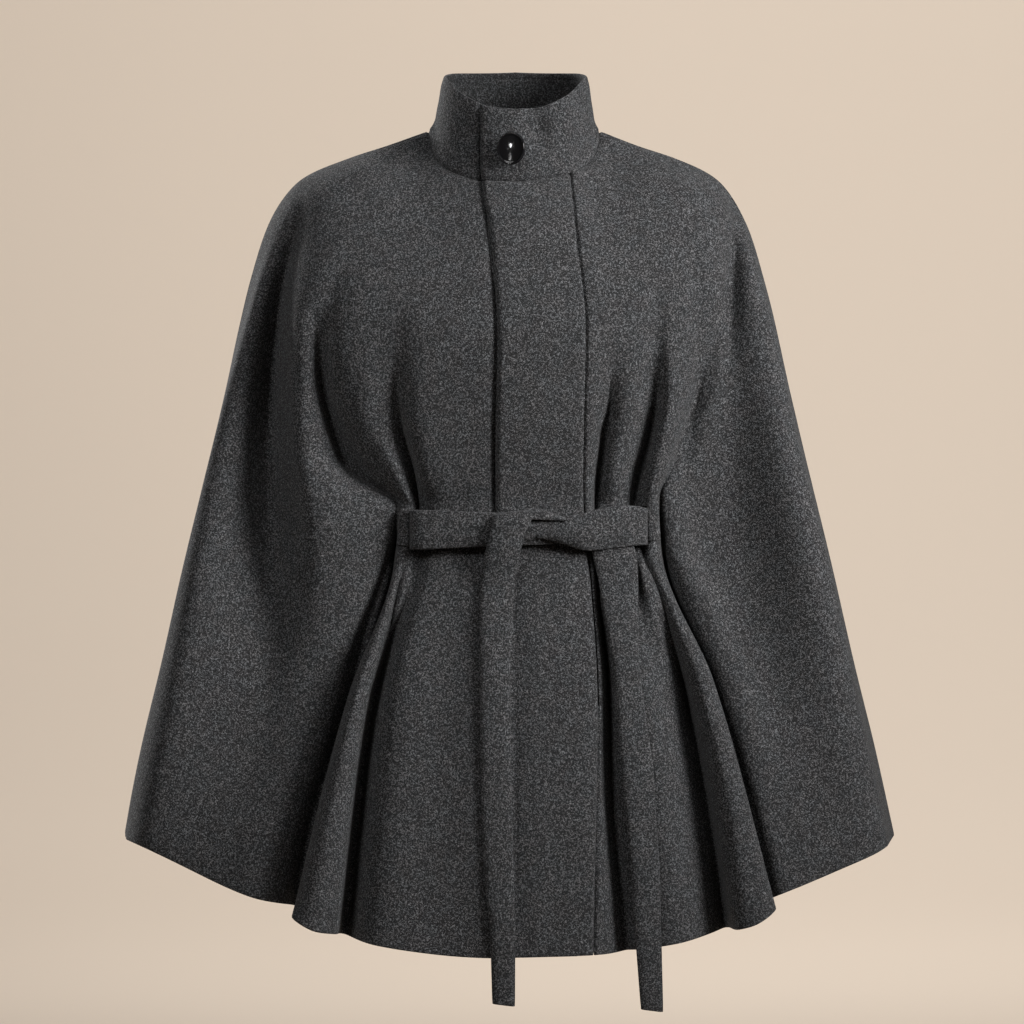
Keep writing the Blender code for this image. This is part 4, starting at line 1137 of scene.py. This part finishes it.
FLOOR = -1.42  # below the cape as it is worn
STAGE = [
    # radius, height over the floor
    (0.0, 0.0), (3.0, 0.0), (6.5, 0.0), (8.0, 0.25), (9.2, 0.95), (9.9, 2.2), (10.1, 4.0), (10.1, 6.0),
]
STAGE_SIDES, STAGE_STEPS = 96, 6
STAGE_TONE = (0.60, 0.515, 0.43)
STAGE_WANDER = (0.97, 1.03)  # shares of it between which it wanders
LIGHTS = [
    # name, place, aim, width, height, watts, spread
    ("key", (2.05, -1.2, 0.5), (-0.12, 0.0, -0.25), 1.1, 1.1, 17.5, 54.0),
    ("high", (0.7, -1.3, 1.5), (0.0, 0.0, -0.25), 1.1, 1.1, 1.2, 60.0),
    ("left", (-1.3, -1.75, 1.1), (-0.1, 0.0, -0.4), 0.9, 0.9, 4.5, 60.0),
    ("glint", (-1.54, -1.91, 0.115), (0.0, -0.08, -0.02), 0.032, 0.06, 0.1, 60.0),
    ("glint_strip", (-1.51, -1.88, 0.325), (0.0, -0.08, -0.02), 0.007, 0.17, 0.025, 60.0),
    ("behind", (-2.6, 2.5, 1.3), (0.0, 0.1, -0.35), 1.4, 1.4, 30.0, 60.0),
    ("backdrop", (0.9, 4.6, 3.4), (-0.3, 10.0, -0.3), 3.0, 3.0, 385.0, 180.0),
]
SKY = (1.0, 1.0, 1.0)
SKY_STRENGTH = 0.01
SENSOR = 36.0  # width of the camera's sensor
VIEW_WIDTH = 1024.0  # what it shows of the plane of the shoulders
FAR_END = 100.0  # metres


def make_stage():
    """A plain floor that sweeps up into a backdrop all round."""
    made, tree, shader = new_material("pale_floor")
    place = new_node(tree, "TexCoord", "Object", {})
    noise = new_node(tree, "TexNoise", "Fac", {"Vector": place, "Scale": 0.35})
    tones = ((*(channel * share for channel in STAGE_TONE), 1.0) for share in STAGE_WANDER)
    tone = new_node(tree, "Mix", MIX_OUTPUT, dict(zip(MIX_INPUTS, (noise, *tones))), data_type="RGBA")
    set_inputs(tree, shader, {"Base Color": tone, "Roughness": 1.0, "Specular IOR Level": 0.0})
    profile = through(STAGE, STAGE_STEPS)
    points = [
        (radius * math.cos(angle), radius * math.sin(angle), FLOOR + height)
        for radius, height in profile
        for angle in np.linspace(0, 2 * math.pi, STAGE_SIDES, endpoint=False)
    ]
    faces = [
        (first + j, first + STAGE_SIDES + j, first + STAGE_SIDES + after, first + after)
        for first in range(0, (len(profile) - 1) * STAGE_SIDES, STAGE_SIDES)
        for j, after in zip(range(STAGE_SIDES), (*range(1, STAGE_SIDES), 0))
    ]
    mesh = bpy.data.meshes.new("pale_floor")
    mesh.from_pydata(points, [], faces)
    mesh.shade_smooth()
    mesh.materials.append(made)
    shown("pale_floor", mesh)


def make_lights():
    """The lamps, each aimed at its place on the cape or the backdrop, and the faint sky."""
    for name, place, aim, width, height, watts, spread in LIGHTS:
        data = bpy.data.lights.new(name, "AREA")
        data.shape = "ELLIPSE"
        data.size = width
        data.size_y = height
        data.energy = watts
        data.spread = math.radians(spread)
        lamp = shown(name, data)
        lamp.location = place
        lamp.visible_camera = False
        lamp.rotation_euler = (Vector(aim) - Vector(place)).to_track_quat("-Z", "Y").to_euler()
    world = bpy.data.worlds.new("soft_studio")
    world.use_nodes = True
    background = world.node_tree.nodes["Background"]
    background.inputs["Color"].default_value = (*SKY, 1.0)
    background.inputs["Strength"].default_value = SKY_STRENGTH
    bpy.context.scene.world = world


def make_camera():
    """The camera, straight in front at the height of the belt."""
    data = bpy.data.cameras.new("front")
    data.sensor_width = SENSOR
    data.lens = SENSOR * VIEW_DISTANCE / VIEW_WIDTH
    data.clip_end = FAR_END
    camera = shown("front", data)
    camera.location = (0.0, -VIEW_DISTANCE * MM, VIEW_HEIGHT * MM)
    camera.rotation_euler = (math.pi / 2, 0.0, 0.0)
    bpy.context.scene.camera = camera
    bpy.context.scene.view_settings.view_transform = "Standard"


def main():
    make_camera()
    make_lights()
    make_stage()
    made = make_cape()
    made.update(make_belt([made[name] for name in ("front_right", "front_left", "front_placket")]))
    make_button()


main()
